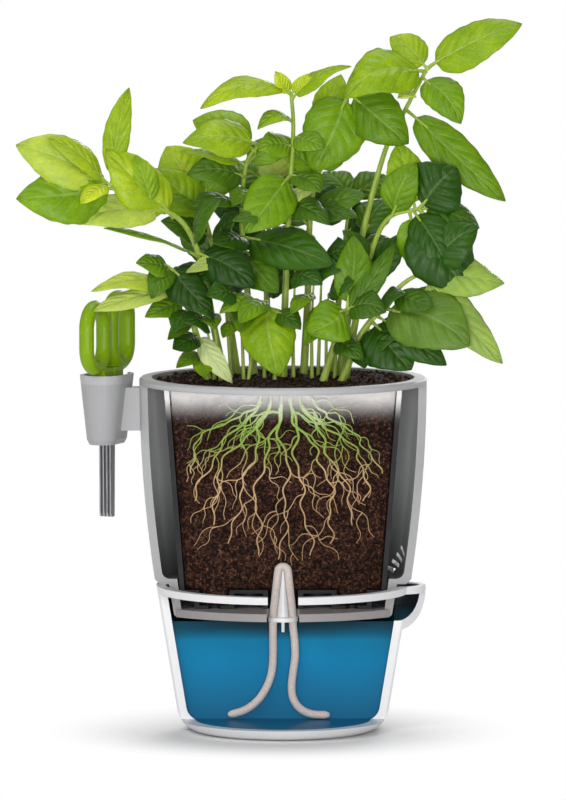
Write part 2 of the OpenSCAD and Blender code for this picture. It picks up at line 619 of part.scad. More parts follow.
// Roots fan out on the face of the soil, each bending down on its way
function root_way(i) = let (f = 2 * i / (root_count - 1) - 1, a = root_fan * f, w = i % 2 == 0 ? 1 : -1) [
    for (k = [0:root_steps]) let (t = k / root_steps) [
        root_crown * f * (1 - t) + root_reach * sin(a) * t * t * (3 - 2 * t) + root_wave * w * sin(400 * t),
        face_y - slip_clear,
        -root_settle * sin(90 * min(1, 4 * t))
            - (root_depth - root_settle) * (0.7 * cos(a) * t * (0.4 + 0.6 * t) + 0.3 * t * t)
    ]
];
module root(way, d0, d1) {
    last = len(way) - 1;
    tube(way, [for (k = [0:last]) (d0 + (d1 - d0) * k / last) / 2], root_sides);
}
module roots() color("khaki") translate([0, 0, flange_z - root_d / 2]) for (i = [0:root_count - 1]) {
    way = root_way(i);
    fork = way[root_steps / 3];
    side = i < (root_count - 1) / 2 ? 1 : -1;
    root(way, root_d, root_tip_d);
    root([
        fork,
        fork + root_fork * [side * 0.2, 0, -0.46],
        fork + root_fork * [side * 0.27, 0, -1]
    ], root_tip_d, root_tip_d * 0.8);
}

// A length or a point of the plant, from the drawn height to its own
function grown(v) = v * plant_h / drawn_h;
function shoot(i) = [for (p = SHOOTS[i]) grown(p)];

module basil_stems() color("yellowgreen") translate([0, 0, plant_z]) for (n = [0:len(SHOOTS) - 1]) {
    way = shoot(n);
    last = len(way) - 1;
    steps = 2 * last + 1;
    thin = n >= len(MAIN_SHOOTS);
    r = stem_d / 2 * (thin ? thin_share : 1);
    foot = [way[0].x, way[0].y, flange_z + stem_foot - plant_z];
    path = concat([foot], [for (i = [1:steps]) along(way, i / steps)]);
    tube(path, [for (i = [0:steps]) r * (1 - stem_taper * i / steps)], thin ? thin_sides : stem_sides);
}

// One leaf: a stalk from the stem and a domed blade that arches to its tip
module leaf(base, tip, width, tilt, arch) {
    way = unit(tip - base);
    facing = [0, -cos(tilt), sin(tilt)];
    up = unit(facing - (facing * way) * way);
    across = cross(way, up);
    spine = [for (s = leaf_shape) base + (tip - base) * s[0] + up * 4 * arch * s[0] * (1 - s[0])];
    points = [
        for (i = [0:len(leaf_shape) - 1])
            let (h = leaf_shape[i][1] * width / 2, a = spine[i] + up * h * leaf_fold, t = up * leaf_t)
            each [
                a - across * h, spine[i], a + across * h,
                a - across * h - t, spine[i] - t, a + across * h - t
            ]
    ];
    quads = [for (i = [0:len(leaf_shape) - 2], e = [[0, 1], [1, 2], [2, 5], [5, 4], [4, 3], [3, 0]])
        [6 * i + e[0], 6 * i + e[1], 6 * i + 6 + e[1], 6 * i + 6 + e[0]]];
    last = 6 * (len(leaf_shape) - 1);
    ends = [
        [0, 3, 4, 1], [1, 4, 5, 2],
        [last, last + 1, last + 4, last + 3], [last + 1, last + 2, last + 5, last + 4]
    ];
    faces = [for (q = concat(quads, ends)) each [[q[0], q[2], q[1]], [q[0], q[3], q[2]]]];
    polyhedron(points, faces);
    tube([base, spine[0] + (spine[1] - spine[0]) / 4 - up * leaf_t / 2], [stalk_r, stalk_r], stalk_sides);
}
module basil_leaves() color("olivedrab") translate([0, 0, plant_z])
    for (s = [0:len(SHOOTS) - 1], row = LEAVES[s])
        leaf(along(shoot(s), row[0]), grown(row[1]), grown(row[2]), row[3], grown(row[4]));

// Outline with round ends, in the sleeve's own directions
module slot_shape(l, w) {
    square([w, l - w], center = true);
    for (s = [-1, 1]) translate([0, s * (l - w) / 2]) circle(d = w, $fn = 32);
}
module slab(l, w, z, h = 0.1) translate([0, 0, z]) linear_extrude(h) slot_shape(l, w);

// Directions of the sleeve and the scissors: X along the pivot, Y across towards the back
module at_sleeve() translate([sleeve_x, 0, 0]) rotate([0, 0, -sleeve_turn]) children();
module at_pivot() at_sleeve() translate([0, 0, pivot_z]) children();

module scissor_sleeve() color("darkgray") difference() {
    union() {
        at_sleeve() hull() {
            slab(sleeve_bottom_l - sleeve_edge, sleeve_bottom_w - sleeve_edge, sleeve_z);
            slab(sleeve_bottom_l, sleeve_bottom_w, sleeve_z + sleeve_edge);
            slab(sleeve_top_l, sleeve_top_w, sleeve_z + sleeve_h - 0.1);
        }
        translate([sleeve_x, -bracket_t / 2, bracket_z])
            cube([-sleeve_x - pot_r + pot_bulge, bracket_t, bracket_h]);
    }
    at_sleeve() hull() {
        slab(sleeve_bottom_l - 2 * sleeve_wall, sleeve_bottom_w - 2 * sleeve_wall, sleeve_z + sleeve_floor);
        slab(sleeve_top_l - 2 * sleeve_wall, sleeve_top_w - 2 * sleeve_wall, sleeve_z + sleeve_h + 0.1);
    }
    at_sleeve() translate([-stack_t / 2 - run_clear, -slot_front, sleeve_z - 1])
        cube([stack_t + 2 * run_clear, slot_front + slot_back, sleeve_floor + 2]);
    at_sleeve() translate([-handle_half_t - run_clear, 0, pivot_z - 3])
        cube([2 * (handle_half_t + run_clear), sleeve_top_l, sleeve_h]);
    rotate_extrude() polygon(concat([[0, seam_z]], pot_outside(slip_clear), [[0, pot_z]]));
}

// Place of one blade along the pivot: pairs of one front and one back blade
function blade_x(i, back) = -stack_t / 2 + i * pair_pitch + (back ? blade_t + slip_clear : 0);

// One blade with its tang, lying in the plane across the pivot
module blade(i, back) color("silver") at_pivot() translate([blade_x(i, back) + blade_t / 2, 0, 0])
    rotate([90, 0, back ? -90 : 90]) linear_extrude(blade_t, center = true) difference() {
        union() {
            circle(r = tang_r);
            polygon([
                [-blade_back, 0], [-blade_tip_back, -blade_l], [blade_w - blade_back - 2, -blade_l],
                [blade_w - blade_back - 0.6, 2 - blade_l], [blade_w - blade_back, -3]
            ]);
            polygon([
                [0, 0], [-half_gap, tang_r], [-tang_lean, tang_top],
                [-tang_lean - tang_w, tang_top], [-tang_r, 0]
            ]);
        }
        circle(r = pivot_r + (back ? pin_clear : slip_clear));
    }
module front_blade_1() blade(0, false);
module front_blade_2() blade(1, false);
module front_blade_3() blade(2, false);
module front_blade_4() blade(3, false);
module back_blade_1() blade(0, true);
module back_blade_2() blade(1, true);
module back_blade_3() blade(2, true);
module back_blade_4() blade(3, true);

// Finger loop: a long ring with an oval limb
module finger_loop(y, loop_h, s) {
    bend_r = (loop_w + limb_w) / 2;
    run = loop_h - loop_w;
    translate([0, s * y, loop_bottom + limb_w + loop_h / 2]) {
        for (e = [-1, 1]) translate([0, 0, e * run / 2]) rotate([0, 90, 0]) rotate([0, 0, e > 0 ? 90 : -90])
            rotate_extrude(angle = 180) translate([bend_r, 0]) limb();
        for (e = [-1, 1]) translate([0, e * bend_r, -run / 2]) rotate([0, 0, 90]) linear_extrude(run) limb();
    }
}
module limb() polygon([for (a = [0:15:345]) [limb_w / 2 * cos(a), limb_t / 2 * sin(a)]]);

// One half's handle: s is -1 for the front half and 1 for the back half
module handle(s, loop_h, back) at_pivot() difference() {
    union() {
        rotate([0, 90, 0]) translate([0, 0, s < 0 ? -handle_half_t : cheek_x])
            cylinder(r = boss_r, h = cheek_t);
        intersection() {
            shank(s);
            translate([-handle_half_t, s < 0 ? -2 * boss_r : half_gap, shank_z])
                cube([2 * handle_half_t, 2 * boss_r - half_gap, 2 * shank_top]);
        }
        finger_loop(loop_y, loop_h, s);
    }
    rotate([0, 90, 0])
        cylinder(r = pivot_r + (back ? pin_clear : slip_clear), h = 4 * handle_half_t, center = true);
    rotate([0, 90, 0]) translate([0, 0, s < 0 ? -handle_half_t - 1 : handle_half_t - head_t - slip_clear])
        cylinder(r = head_r + 2 * slip_clear, h = head_t + slip_clear + 1);
    rotate([0, 90, 0]) translate([0, 0, s < 0 ? cheek_x - slip_clear : -2 * handle_half_t - slip_clear])
        cylinder(r = boss_r + run_clear, h = 2 * handle_half_t - cheek_x + 2 * slip_clear);
    for (i = [0:blade_count - 1])
        translate([blade_x(i, back) - slip_clear, s < 0 ? -2 * boss_r : 0, 0])
            cube([blade_t + 2 * slip_clear, 2 * boss_r, tang_top + slip_clear]);
}
module shank(s) hull() {
    translate([-handle_half_t, s < 0 ? -shank_w : 0, 0]) cube([2 * handle_half_t, shank_w, shank_z]);
    translate([-limb_t / 2, s < 0 ? -shank_w - 1 : 0, shank_top - 3]) cube([limb_t, shank_w + 1, 3]);
}
module handle_front() color("yellowgreen") handle(-1, front_loop_h, false);
module handle_back() color("yellowgreen") handle(1, back_loop_h, true);

// The screw's head and the nut lie flush in the cheeks
module pivot_screw() color("lightgray") at_pivot() rotate([0, 90, 0]) {
    translate([0, 0, -handle_half_t]) cylinder(r = pivot_r, h = 2 * handle_half_t);
    translate([0, 0, -handle_half_t]) cylinder(r = head_r, h = head_t);
}
module pivot_nut() color("lightgray") at_pivot() rotate([0, 90, 0]) translate([0, 0, handle_half_t - head_t])
    difference() {
        cylinder(r = head_r, h = head_t);
        translate([0, 0, -1]) cylinder(r = pivot_r + slip_clear, h = head_t + 2);
    }
module blade_spacers() color("silver") at_pivot() rotate([0, 90, 0]) for (i = [0:blade_count - 2])
    translate([0, 0, blade_x(i + 1, false) - spacer_t - slip_clear]) difference() {
        cylinder(r = head_r, h = spacer_t);
        translate([0, 0, -1]) cylinder(r = pivot_r + slip_clear, h = spacer_t + 2);
    }

reservoir();
water();
outer_pot();
scissor_sleeve();
wick_spike();
wick_loop();
wick_left_leg();
wick_right_leg();
nursery_pot();
potting_soil();
roots();
basil_stems();
basil_leaves();
handle_front();
handle_back();
front_blade_1();
front_blade_2();
front_blade_3();
front_blade_4();
back_blade_1();
back_blade_2();
back_blade_3();
back_blade_4();
pivot_screw();
pivot_nut();
blade_spacers();
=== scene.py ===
"""Looks for the self watering planter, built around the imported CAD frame."""
import math
import random

import bpy
import numpy as np
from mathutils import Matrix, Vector


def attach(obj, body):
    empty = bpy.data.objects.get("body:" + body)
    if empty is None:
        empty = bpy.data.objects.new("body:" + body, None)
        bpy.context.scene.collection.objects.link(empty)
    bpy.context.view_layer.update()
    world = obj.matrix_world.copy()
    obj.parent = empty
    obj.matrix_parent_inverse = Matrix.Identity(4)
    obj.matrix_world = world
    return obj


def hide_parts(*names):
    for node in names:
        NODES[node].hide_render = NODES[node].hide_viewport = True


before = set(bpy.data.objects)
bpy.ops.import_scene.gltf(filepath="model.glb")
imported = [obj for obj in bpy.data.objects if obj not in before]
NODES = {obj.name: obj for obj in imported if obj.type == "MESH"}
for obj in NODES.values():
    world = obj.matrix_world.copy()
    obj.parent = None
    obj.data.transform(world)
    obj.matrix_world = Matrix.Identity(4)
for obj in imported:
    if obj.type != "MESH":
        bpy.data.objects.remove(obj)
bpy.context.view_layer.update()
MM = 0.001

# Sizes that the looks share with the CAD, in millimetres
SOIL_Z, SOIL_CROWN = 171.8, 2.5
PLANT_Z, STEM_FOOT_Z = 170.0, 171.2
FACE_Y = 3.25
SEAM_Z, SHOULDER_Z = 71.5, 74.1
RIM_Z = 169.8
POT_TOP_Z = 173.0
FLANGE_Z = 170.8
POT_R, POT_BOW_R, POT_WALL = 70.0, 664.3, 4.0
BOWL_TOP_R, BOWL_SLOPE = 57.24, 0.1655
TRAY_GAP, TRAY_WALL, TRAY_FLOOR_Z = 1.6, 4.0, 59.3
WATER_Z = 52.9
SPOUT_X, SPOUT_IN_R, SPOUT_Z, SPOUT_IN_DEPTH = 55.6, 11.1, 69.5, 16.0
WICK_R = 1.9
WICK_X, WICK_EXIT_Z, WICK_REST_Z = 4.9, 53.5, 7.3
TRAY_Z, SPIKE_H, SPIKE_TIP_R = 55.5, 22.6, 0.4

# The photograph's camera: a long lens a little above the pot, in metres
CAMERA_DISTANCE = 4.19
CAMERA_HEIGHT = 0.5245
AIM_Z = 0.1617
FRAME_HEIGHT = 0.3896
SENSOR_HEIGHT = 24


def place_camera():
    data = bpy.data.cameras.new("camera")
    camera = bpy.data.objects.new("camera", data)
    bpy.context.scene.collection.objects.link(camera)
    camera.location = (0, -CAMERA_DISTANCE, CAMERA_HEIGHT)
    aim = Vector((0, 0, AIM_Z)) - camera.location
    camera.rotation_euler = aim.to_track_quat("-Z", "Y").to_euler()
    data.sensor_fit = "VERTICAL"
    data.sensor_height = SENSOR_HEIGHT
    data.lens = SENSOR_HEIGHT * aim.length / FRAME_HEIGHT
    data.clip_start, data.clip_end = 0.05, 100
    bpy.context.scene.camera = camera


# Painted light: a pale glow painted under the pot's rim, the heights where it starts and is full, and its
# colour
PAINTED_GLOW_LOW_Z, PAINTED_GLOW_TOP_Z = 147, 166
PAINTED_GLOW_COLOUR = (0.95, 0.92, 0.91)


class Look:
    """A procedural material around one Principled shader. Lengths in its texture space are millimetres."""

    def __init__(self, name, **inputs):
        self.material = bpy.data.materials.new(name)
        self.material.use_nodes = True
        self.tree = self.material.node_tree
        self.shader = self.tree.nodes["Principled BSDF"]
        for key, value in inputs.items():
            self.shader.inputs[key.replace("_", " ")].default_value = value
        scale = self.add("ShaderNodeVectorMath", operation="SCALE")
        self.tree.links.new(self.add("ShaderNodeTexCoord").outputs["Object"], scale.inputs[0])
        scale.inputs["Scale"].default_value = 1 / MM
        self.place = scale.outputs[0]
        split = self.add("ShaderNodeSeparateXYZ")
        self.tree.links.new(self.place, split.inputs[0])
        self.x, self.y, self.z = split.outputs

    def add(self, kind, **settings):
        node = self.tree.nodes.new(kind)
        for key, value in settings.items():
            setattr(node, key, value)
        return node

    def put(self, socket, value):
        if isinstance(value, bpy.types.NodeSocket):
            self.tree.links.new(value, socket)
        else:
            socket.default_value = value

    def set(self, socket, value):
        self.put(self.shader.inputs[socket], value)

    def math(self, operation, a, b=0.0, clamp=False):
        node = self.add("ShaderNodeMath", operation=operation, use_clamp=clamp)
        self.put(node.inputs[0], a)
        self.put(node.inputs[1], b)
        return node.outputs[0]

    def plus(self, a, b):
        return self.math("ADD", a, b)

    def minus(self, a, b):
        return self.math("SUBTRACT", a, b)

    def larger(self, a, b):
        return self.math("MAXIMUM", a, b)

    def times(self, first, *others):
        for other in others:
            first = self.math("MULTIPLY", first, other)
        return first

    def step(self, value, low, high):
        """0 below low, 1 above high, smooth between; low may be the larger."""
        node = self.add("ShaderNodeMapRange", interpolation_type="SMOOTHSTEP")
        self.put(node.inputs["Value"], value)
        node.inputs["From Min"].default_value = low
        node.inputs["From Max"].default_value = high
        return node.outputs[0]

    def radius(self, x0=0.0):
        """Distance from the upright axis at x0."""
        dx = self.minus(self.x, x0)
        return self.math("SQRT", self.plus(self.times(dx, dx), self.times(self.y, self.y)))

    def mix(self, factor, a, b, blend="MIX"):
        node = self.add("ShaderNodeMix", data_type="RGBA", blend_type=blend)
        for socket, value in ((node.inputs[0], factor), (node.inputs[6], a), (node.inputs[7], b)):
            self.put(socket, (*value, 1) if isinstance(value, tuple) else value)
        return node.outputs[2]

    def tinted(self, colour, tint):
        return self.mix(1.0, colour, tint, "MULTIPLY")

    def ramp(self, factor, *stops):
        node = self.add("ShaderNodeValToRGB")
        elements = node.color_ramp.elements
        while len(elements) < len(stops):
            elements.new(0.5)
        for element, (position, colour) in zip(elements, stops):
            element.position = position
            element.color = (*colour, 1)
        self.put(node.inputs[0], factor)
        return node.outputs[0]

    def noise(self, size, detail=3, stretch=None, roughness=0.5):
        """Noise with blobs about size millimetres across."""
        node = self.add("ShaderNodeTexNoise")
        place = self.place
        if stretch:
            scale = self.add("ShaderNodeVectorMath", operation="MULTIPLY")
            self.put(scale.inputs[0], place)
            scale.inputs[1].default_value = stretch
            place = scale.outputs[0]
        self.put(node.inputs["Vector"], place)
        node.inputs["Scale"].default_value = 1 / size
        node.inputs["Detail"].default_value = detail
        node.inputs["Roughness"].default_value = roughness
        return node.outputs[0]

    def cells(self, size):
        """Distance from the middles of cells about size millimetres across."""
        node = self.add("ShaderNodeTexVoronoi", feature="F1")
        self.put(node.inputs["Vector"], self.place)
        node.inputs["Scale"].default_value = 1 / size
        return node.outputs["Distance"]

    def attribute(self, name):
        node = self.add("ShaderNodeAttribute", attribute_name=name)
        split = self.add("ShaderNodeSeparateColor")
        self.tree.links.new(node.outputs["Color"], split.inputs[0])
        return split.outputs

    def bump(self, height, depth, strength=1.0):
        """Relief up to depth millimetres high."""
        node = self.add("ShaderNodeBump")
        self.put(node.inputs["Height"], height)
        node.inputs["Distance"].default_value = depth * MM
        node.inputs["Strength"].default_value = strength
        self.tree.links.new(node.outputs[0], self.shader.inputs["Normal"])

    def rough(self, low, high, size=9):
        self.set("Roughness", self.plus(self.times(self.noise(size), high - low), low))

    def moulded(self, colour, low, high, grain, depth):
        """Moulded plastic: a slight mottle, a roughness from low to high, and a fine grain."""
        mottle = self.mix(self.step(self.noise(26), 0.3, 0.7), (0.97, 0.97, 0.97), (1.0, 1.0, 1.0))
        self.plain = self.tinted(colour, mottle)
        self.set("Base Color", self.plain)
        self.rough(low, high)
        self.bump(self.noise(grain, 2), depth)

    def painted_glow(self, colour, front_y):
        """Painted light under the rim: a pale glow painted on the cut faces in front of front_y."""
        rise = self.step(self.z, PAINTED_GLOW_LOW_Z, PAINTED_GLOW_TOP_Z)
        below_flange = self.step(self.z, FLANGE_Z, FLANGE_Z - 1)
        in_front = self.step(self.y, front_y, front_y - 0.4)
        glow = self.times(rise, rise, below_flange, in_front)
        glow_unevenness = self.plus(self.times(self.noise(5), 0.6), 0.85)
        return self.mix(self.math("MULTIPLY", glow, glow_unevenness, clamp=True), colour, PAINTED_GLOW_COLOUR)


# Fades in millimetres, each from where it starts to where it is full
BEHIND_CUT = (0.1, 0.6)
WALL_SKIN = (0.7, 0.3)
BOWL_SHADE_Z = (46.5, 70.5)
BOWL_EDGE_SHADE = (3.0, 4.5)
TRAY_TINT_Z = (68, 76)

# Heights between which the pot's wall has its vent slots
VENT_LOW_Z, VENT_TOP_Z = 76, 110


def white_plastic():
    """White bowl and spike: painted shade inside the bowl and spout above the water, and a painted grey
    shade along the outer edge of the cut face.
    """
    look = Look("white_plastic")
    look.moulded((0.75, 0.75, 0.765), 0.3, 0.4, 0.9, 0.006)
    inner = look.plus(look.times(look.z, BOWL_SLOPE), BOWL_TOP_R - BOWL_SLOPE * SEAM_Z)
    past_wall = look.minus(look.radius(), inner)
    across = look.math("DIVIDE", look.radius(SPOUT_X), SPOUT_IN_R)
    down = look.math("DIVIDE", look.minus(look.z, SPOUT_Z), SPOUT_IN_DEPTH)
    spout = look.plus(look.times(across, across), look.times(down, down))
    # Painted shade: the inside of the bowl and of the spout behind the cut, above the water, is painted dark
    hollow = look.larger(look.step(past_wall, 1.4, 0.6), look.step(spout, 1.2, 1.05))
    behind = look.times(look.step(look.y, *BEHIND_CUT), look.step(look.z, SEAM_Z - 0.1, SEAM_Z - 1))
    shade = look.ramp(
        look.step(look.z, *BOWL_SHADE_Z),
        (0.0, (0.01, 0.07, 0.1)),
        (0.6, (0.004, 0.01, 0.014)),
        (1.0, (0.01, 0.012, 0.014)))
    cut_face = look.times(look.step(look.y, -0.6, -0.3), look.step(look.y, 0.6, 0.3))
    cut_face = look.times(cut_face, look.step(look.z, SEAM_Z - 3, SEAM_Z - 5))
    # Painted shade: a grey band along the outer edge of the cut face
    edge = look.times(cut_face, look.step(past_wall, *BOWL_EDGE_SHADE))
    plain = look.mix(edge, look.plain, (0.52, 0.52, 0.535))
    look.set("Base Color", look.mix(look.times(hollow, behind), plain, shade))
    return look


def grey_plastic():
    """Grey pot and sleeve: painted light and shade on the pot's inner wall, from pale under the rim to dark
    at the foot, painted pale sides on its vent slots, and a painted highlight on the top of the rim.
    """
    look = Look("grey_plastic", Specular_IOR_Level=0.3)
    look.moulded((0.355, 0.355, 0.364), 0.34, 0.5, 0.5, 0.02)
    drop = look.minus(look.z, POT_TOP_Z)
    bow = look.math("SQRT", look.minus(POT_BOW_R ** 2, look.times(drop, drop)))
    past_wall = look.minus(look.radius(), look.plus(bow, POT_R - POT_BOW_R - POT_WALL))
    tray_top_r = BOWL_TOP_R - TRAY_GAP - TRAY_WALL
    tray_r = look.plus(look.times(look.z, BOWL_SLOPE), tray_top_r - BOWL_SLOPE * SEAM_Z)
    # Painted light and shade on the inner walls of the pot and tray: pale under the rim, dark at the foot
    pot = look.step(past_wall, *WALL_SKIN)
    pot = look.times(pot, look.step(look.z, SHOULDER_Z - 0.4, SHOULDER_Z - 0.1))
    tray = look.step(look.minus(look.radius(), tray_r), *WALL_SKIN)
    tray = look.times(tray, look.step(look.z, TRAY_FLOOR_Z + 0.1, TRAY_FLOOR_Z + 0.5))
    below_rim = look.step(look.z, RIM_Z + 0.2, RIM_Z - 0.2)
    hollow = look.times(look.larger(pot, tray), below_rim, look.step(look.y, *BEHIND_CUT))
    shade = look.ramp(
        look.step(look.z, TRAY_FLOOR_Z, RIM_Z),
        (0.0, (0.06, 0.063, 0.062)),
        (0.17, (0.27, 0.28, 0.277)),
        (0.6, (0.74, 0.76, 0.755)),
        (0.93, (0.84, 0.85, 0.85)),
        (1.0, (0.95, 0.94, 0.94)))
    tint = look.mix(look.step(look.z, *TRAY_TINT_Z), (0.29, 0.272, 0.268), look.plain)
    # Painted highlight: the top of the rim is painted lighter
    painted_rim_light = look.tinted(look.plain, (1.2, 1.2, 1.2))
    tint = look.mix(look.step(look.z, RIM_Z, RIM_Z + 1), tint, painted_rim_light)
    # Painted light: the sides of the vent slots are painted pale, as if lit through
    painted_vent_light = look.times(look.step(look.y, 1.5, 2), look.step(past_wall, 0.2, 0.5))
    painted_vent_light = look.times(painted_vent_light, look.step(past_wall, POT_WALL - 0.1, POT_WALL - 0.4))
    painted_vent_light = look.times(painted_vent_light, look.step(look.z, VENT_LOW_Z, VENT_LOW_Z + 1))
    painted_vent_light = look.times(painted_vent_light, look.step(look.z, VENT_TOP_Z, VENT_TOP_Z - 1))
    look.set("Base Color", look.mix(painted_vent_light, look.mix(hollow, tint, shade), (0.9, 0.9, 0.9)))
    return look


def black_plastic():
    look = Look("black_plastic", Specular_IOR_Level=0.25)
    look.moulded((0.008, 0.007, 0.0095), 0.45, 0.65, 0.6, 0.02)
    # Painted light: the pale glow under the rim, painted on the cut face
    look.set("Base Color", look.painted_glow(look.plain, 0.6))
    return look


def green_plastic():
    look = Look("green_plastic", Specular_IOR_Level=0.2)
    look.moulded((0.2, 0.345, 0.003), 0.3, 0.44, 0.8, 0.015)
    return look


def blade_steel():
    """Brushed steel, with streaks along the blades."""
    look = Look("blade_steel", Metallic=1.0)
    streak = look.noise(0.5, 4, stretch=(1, 1, 0.04))
    look.set("Base Color", look.ramp(streak, (0.3, (0.3, 0.3, 0.31)), (0.7, (0.58, 0.58, 0.59))))
    look.rough(0.26, 0.42, 3)
    look.bump(streak, 0.02)
    return look


def water():
    """Blue water with painted shade: darker at its foot, under its surface and towards the sides."""
    look = Look("water", Roughness=0.3, Specular_IOR_Level=0.04)
    drift = look.times(look.minus(look.noise(22, 2, stretch=(0.4, 1, 1.6)), 0.5), 0.05)
    # Painted shade: darker at the foot and under the surface
    colour = look.ramp(
        look.plus(look.step(look.z, 0, WATER_Z), drift),
        (0.0, (0.01, 0.13, 0.26)),
        (0.33, (0.007, 0.17, 0.34)),
        (0.72, (0.004, 0.21, 0.42)),
        (0.92, (0.004, 0.2, 0.38)),
        (1.0, (0.003, 0.03, 0.045)))
    # Painted shade towards the sides
    side = look.step(look.math("ABSOLUTE", look.x), 30, 58)
    look.set("Base Color", look.mix(look.times(side, 0.25), colour, (0.004, 0.07, 0.13)))
    look.bump(look.noise(14, 2), 0.1, 0.4)
    return look


def wick_felt():
    look = Look("wick_felt", Sheen_Weight=0.35, Sheen_Roughness=0.5)
    fibre = look.noise(0.55, 5, stretch=(1.0, 1.0, 0.5))
    colour = look.ramp(
        fibre,
        (0.25, (0.5, 0.42, 0.385)),
        (0.55, (0.62, 0.54, 0.5)),
        (0.8, (0.74, 0.66, 0.62)))
    look.set("Base Color", colour)
    look.rough(0.7, 0.9, 2)
    look.bump(fibre, 0.12, 0.7)
    return look


def soil():
    """Dark crumbs with lighter flecks and a few broad darker patches."""
    look = Look("soil", Specular_IOR_Level=0.15)
    crumb = look.noise(1.3, 8, roughness=0.74)
    fleck = look.step(look.noise(0.9, 3), 0.62, 0.76)
    patch = look.step(look.noise(30, 2), 0.4, 0.7)
    colour = look.ramp(
        crumb,
        (0.39, (0.003, 0.0012, 0.001)),
        (0.49, (0.014, 0.0055, 0.004)),
        (0.575, (0.075, 0.03, 0.017)),
        (0.68, (0.27, 0.12, 0.065)))
    colour = look.mix(fleck, colour, (0.28, 0.145, 0.075))
    colour = look.mix(patch, colour, look.tinted(colour, (0.72, 0.66, 0.62)))
    # Painted light: the pale glow under the rim, painted on the soil's cut face
    look.set("Base Color", look.painted_glow(colour, FACE_Y + 1.2))
    look.rough(0.75, 0.95, 2)
    look.bump(look.plus(crumb, look.times(look.cells(1.1), 0.25)), 0.7)
    return look


ROOT_TONE_Z = (84, 166)


def root_skin():
    """Roots: tan at the tips, green above, and painted white at the crown with the pale glow under the rim.
    """
    look = Look("root_skin", Roughness=0.5)
    shift = look.times(look.minus(look.noise(12, 2), 0.5), 14)
    # Painted light: the top stops paint the crown white with the pale glow under the rim
    colour = look.ramp(
        look.step(look.plus(look.z, shift), *ROOT_TONE_Z),
        (0.0, (0.56, 0.36, 0.17)),
        (0.5, (0.72, 0.48, 0.25)),
        (0.68, (0.39, 0.44, 0.09)),
        (0.8, (0.32, 0.5, 0.07)),
        (0.9, (0.36, 0.56, 0.1)),
        (0.965, (0.68, 0.83, 0.45)),
        (0.995, (0.95, 0.97, 0.9)))
    mottle = look.step(look.noise(1.2, 3), 0.35, 0.7)
    look.set("Base Color", look.mix(mottle, look.tinted(colour, (0.8, 0.78, 0.72)), colour))
    look.bump(look.noise(0.5, 3), 0.08)
    return look


STEM_TONE_H = 110


def stem_skin():
    """Pale green stems with fine streaks, greener towards the top."""
    look = Look("stem_skin", Roughness=0.45, Specular_IOR_Level=0.3)
    up = look.step(look.z, PLANT_Z, PLANT_Z + STEM_TONE_H)
    colour = look.ramp(
        look.noise(1.4, 3, stretch=(1, 1, 0.08)),
        (0.3, (0.22, 0.33, 0.04)),
        (0.55, (0.36, 0.47, 0.08)),
        (0.8, (0.52, 0.6, 0.16)))
    look.set("Base Color", look.mix(look.times(up, 0.5), colour, (0.3, 0.44, 0.04)))
    look.bump(look.noise(0.5, 3, stretch=(1, 1, 0.1)), 0.06)
    return look


VEIN_PAIRS = 6
VEIN_SWEEP = 0.32


def leaf_skin():
    """Leaf: 'place' holds the shares along and across the blade, 'tint' its tone from dark to lime, which
    stands for both its age and painted shade deep in the foliage, its underside and paleness.
    """
    look = Look("leaf_skin", Specular_IOR_Level=0.22)
    along, side, _ = look.attribute("place")
    age_and_shade, under, pale = look.attribute("tint")
    out = look.math("ABSOLUTE", look.minus(look.times(side, 2), 1))
    run = look.times(look.minus(along, look.times(out, VEIN_SWEEP)), VEIN_PAIRS)
    wave = look.math("ABSOLUTE", look.minus(look.math("FRACT", look.plus(run, 4.5)), 0.5))
    side_vein = look.times(look.step(wave, 0.09, 0.02), look.step(out, 1.0, 0.5))
    midrib = look.step(out, 0.07, 0.025)
    vein = look.larger(midrib, look.times(side_vein, 0.55))
    fine = look.noise(1.3, 5, roughness=0.6)
    # Painted shade with age: leaves deep in the plant are dark, besides the age of each leaf
    age_and_shade_green = look.ramp(
        age_and_shade,
        (0.0, (0.006, 0.03, 0.002)),
        (0.3, (0.024, 0.09, 0.002)),
        (0.65, (0.155, 0.31, 0.003)),
        (1.0, (0.5, 0.62, 0.02)))
    colour = look.mix(look.step(fine, 0.3, 0.7), look.tinted(age_and_shade_green, (0.8, 0.84, 0.8)), age_and_shade_green)
    patch = look.step(look.noise(9, 2), 0.35, 0.75)
    colour = look.mix(patch, colour, look.tinted(colour, (1.35, 1.22, 1.1)))
    colour = look.mix(under, colour, look.mix(0.5, colour, (0.3, 0.42, 0.09)))
    colour = look.mix(pale, colour, (0.62, 0.72, 0.36))
    vein_tone = look.times(vein, look.plus(look.times(age_and_shade, 0.3), 0.1))
    colour = look.mix(vein_tone, colour, look.mix(0.5, colour, (0.62, 0.74, 0.3)))
    look.set("Base Color", colour)
    look.rough(0.3, 0.5, 3)
    quilt = look.times(look.step(wave, 0.0, 0.5), look.step(out, 1.0, 0.2))
    relief = look.plus(look.times(fine, 0.25), look.minus(quilt, look.times(vein, 0.5)))
    look.bump(relief, 0.34, 0.9)
    return look


def dress(look, *names):
    for name in names:
        NODES[name].data.materials.clear()
        NODES[name].data.materials.append(look.material)


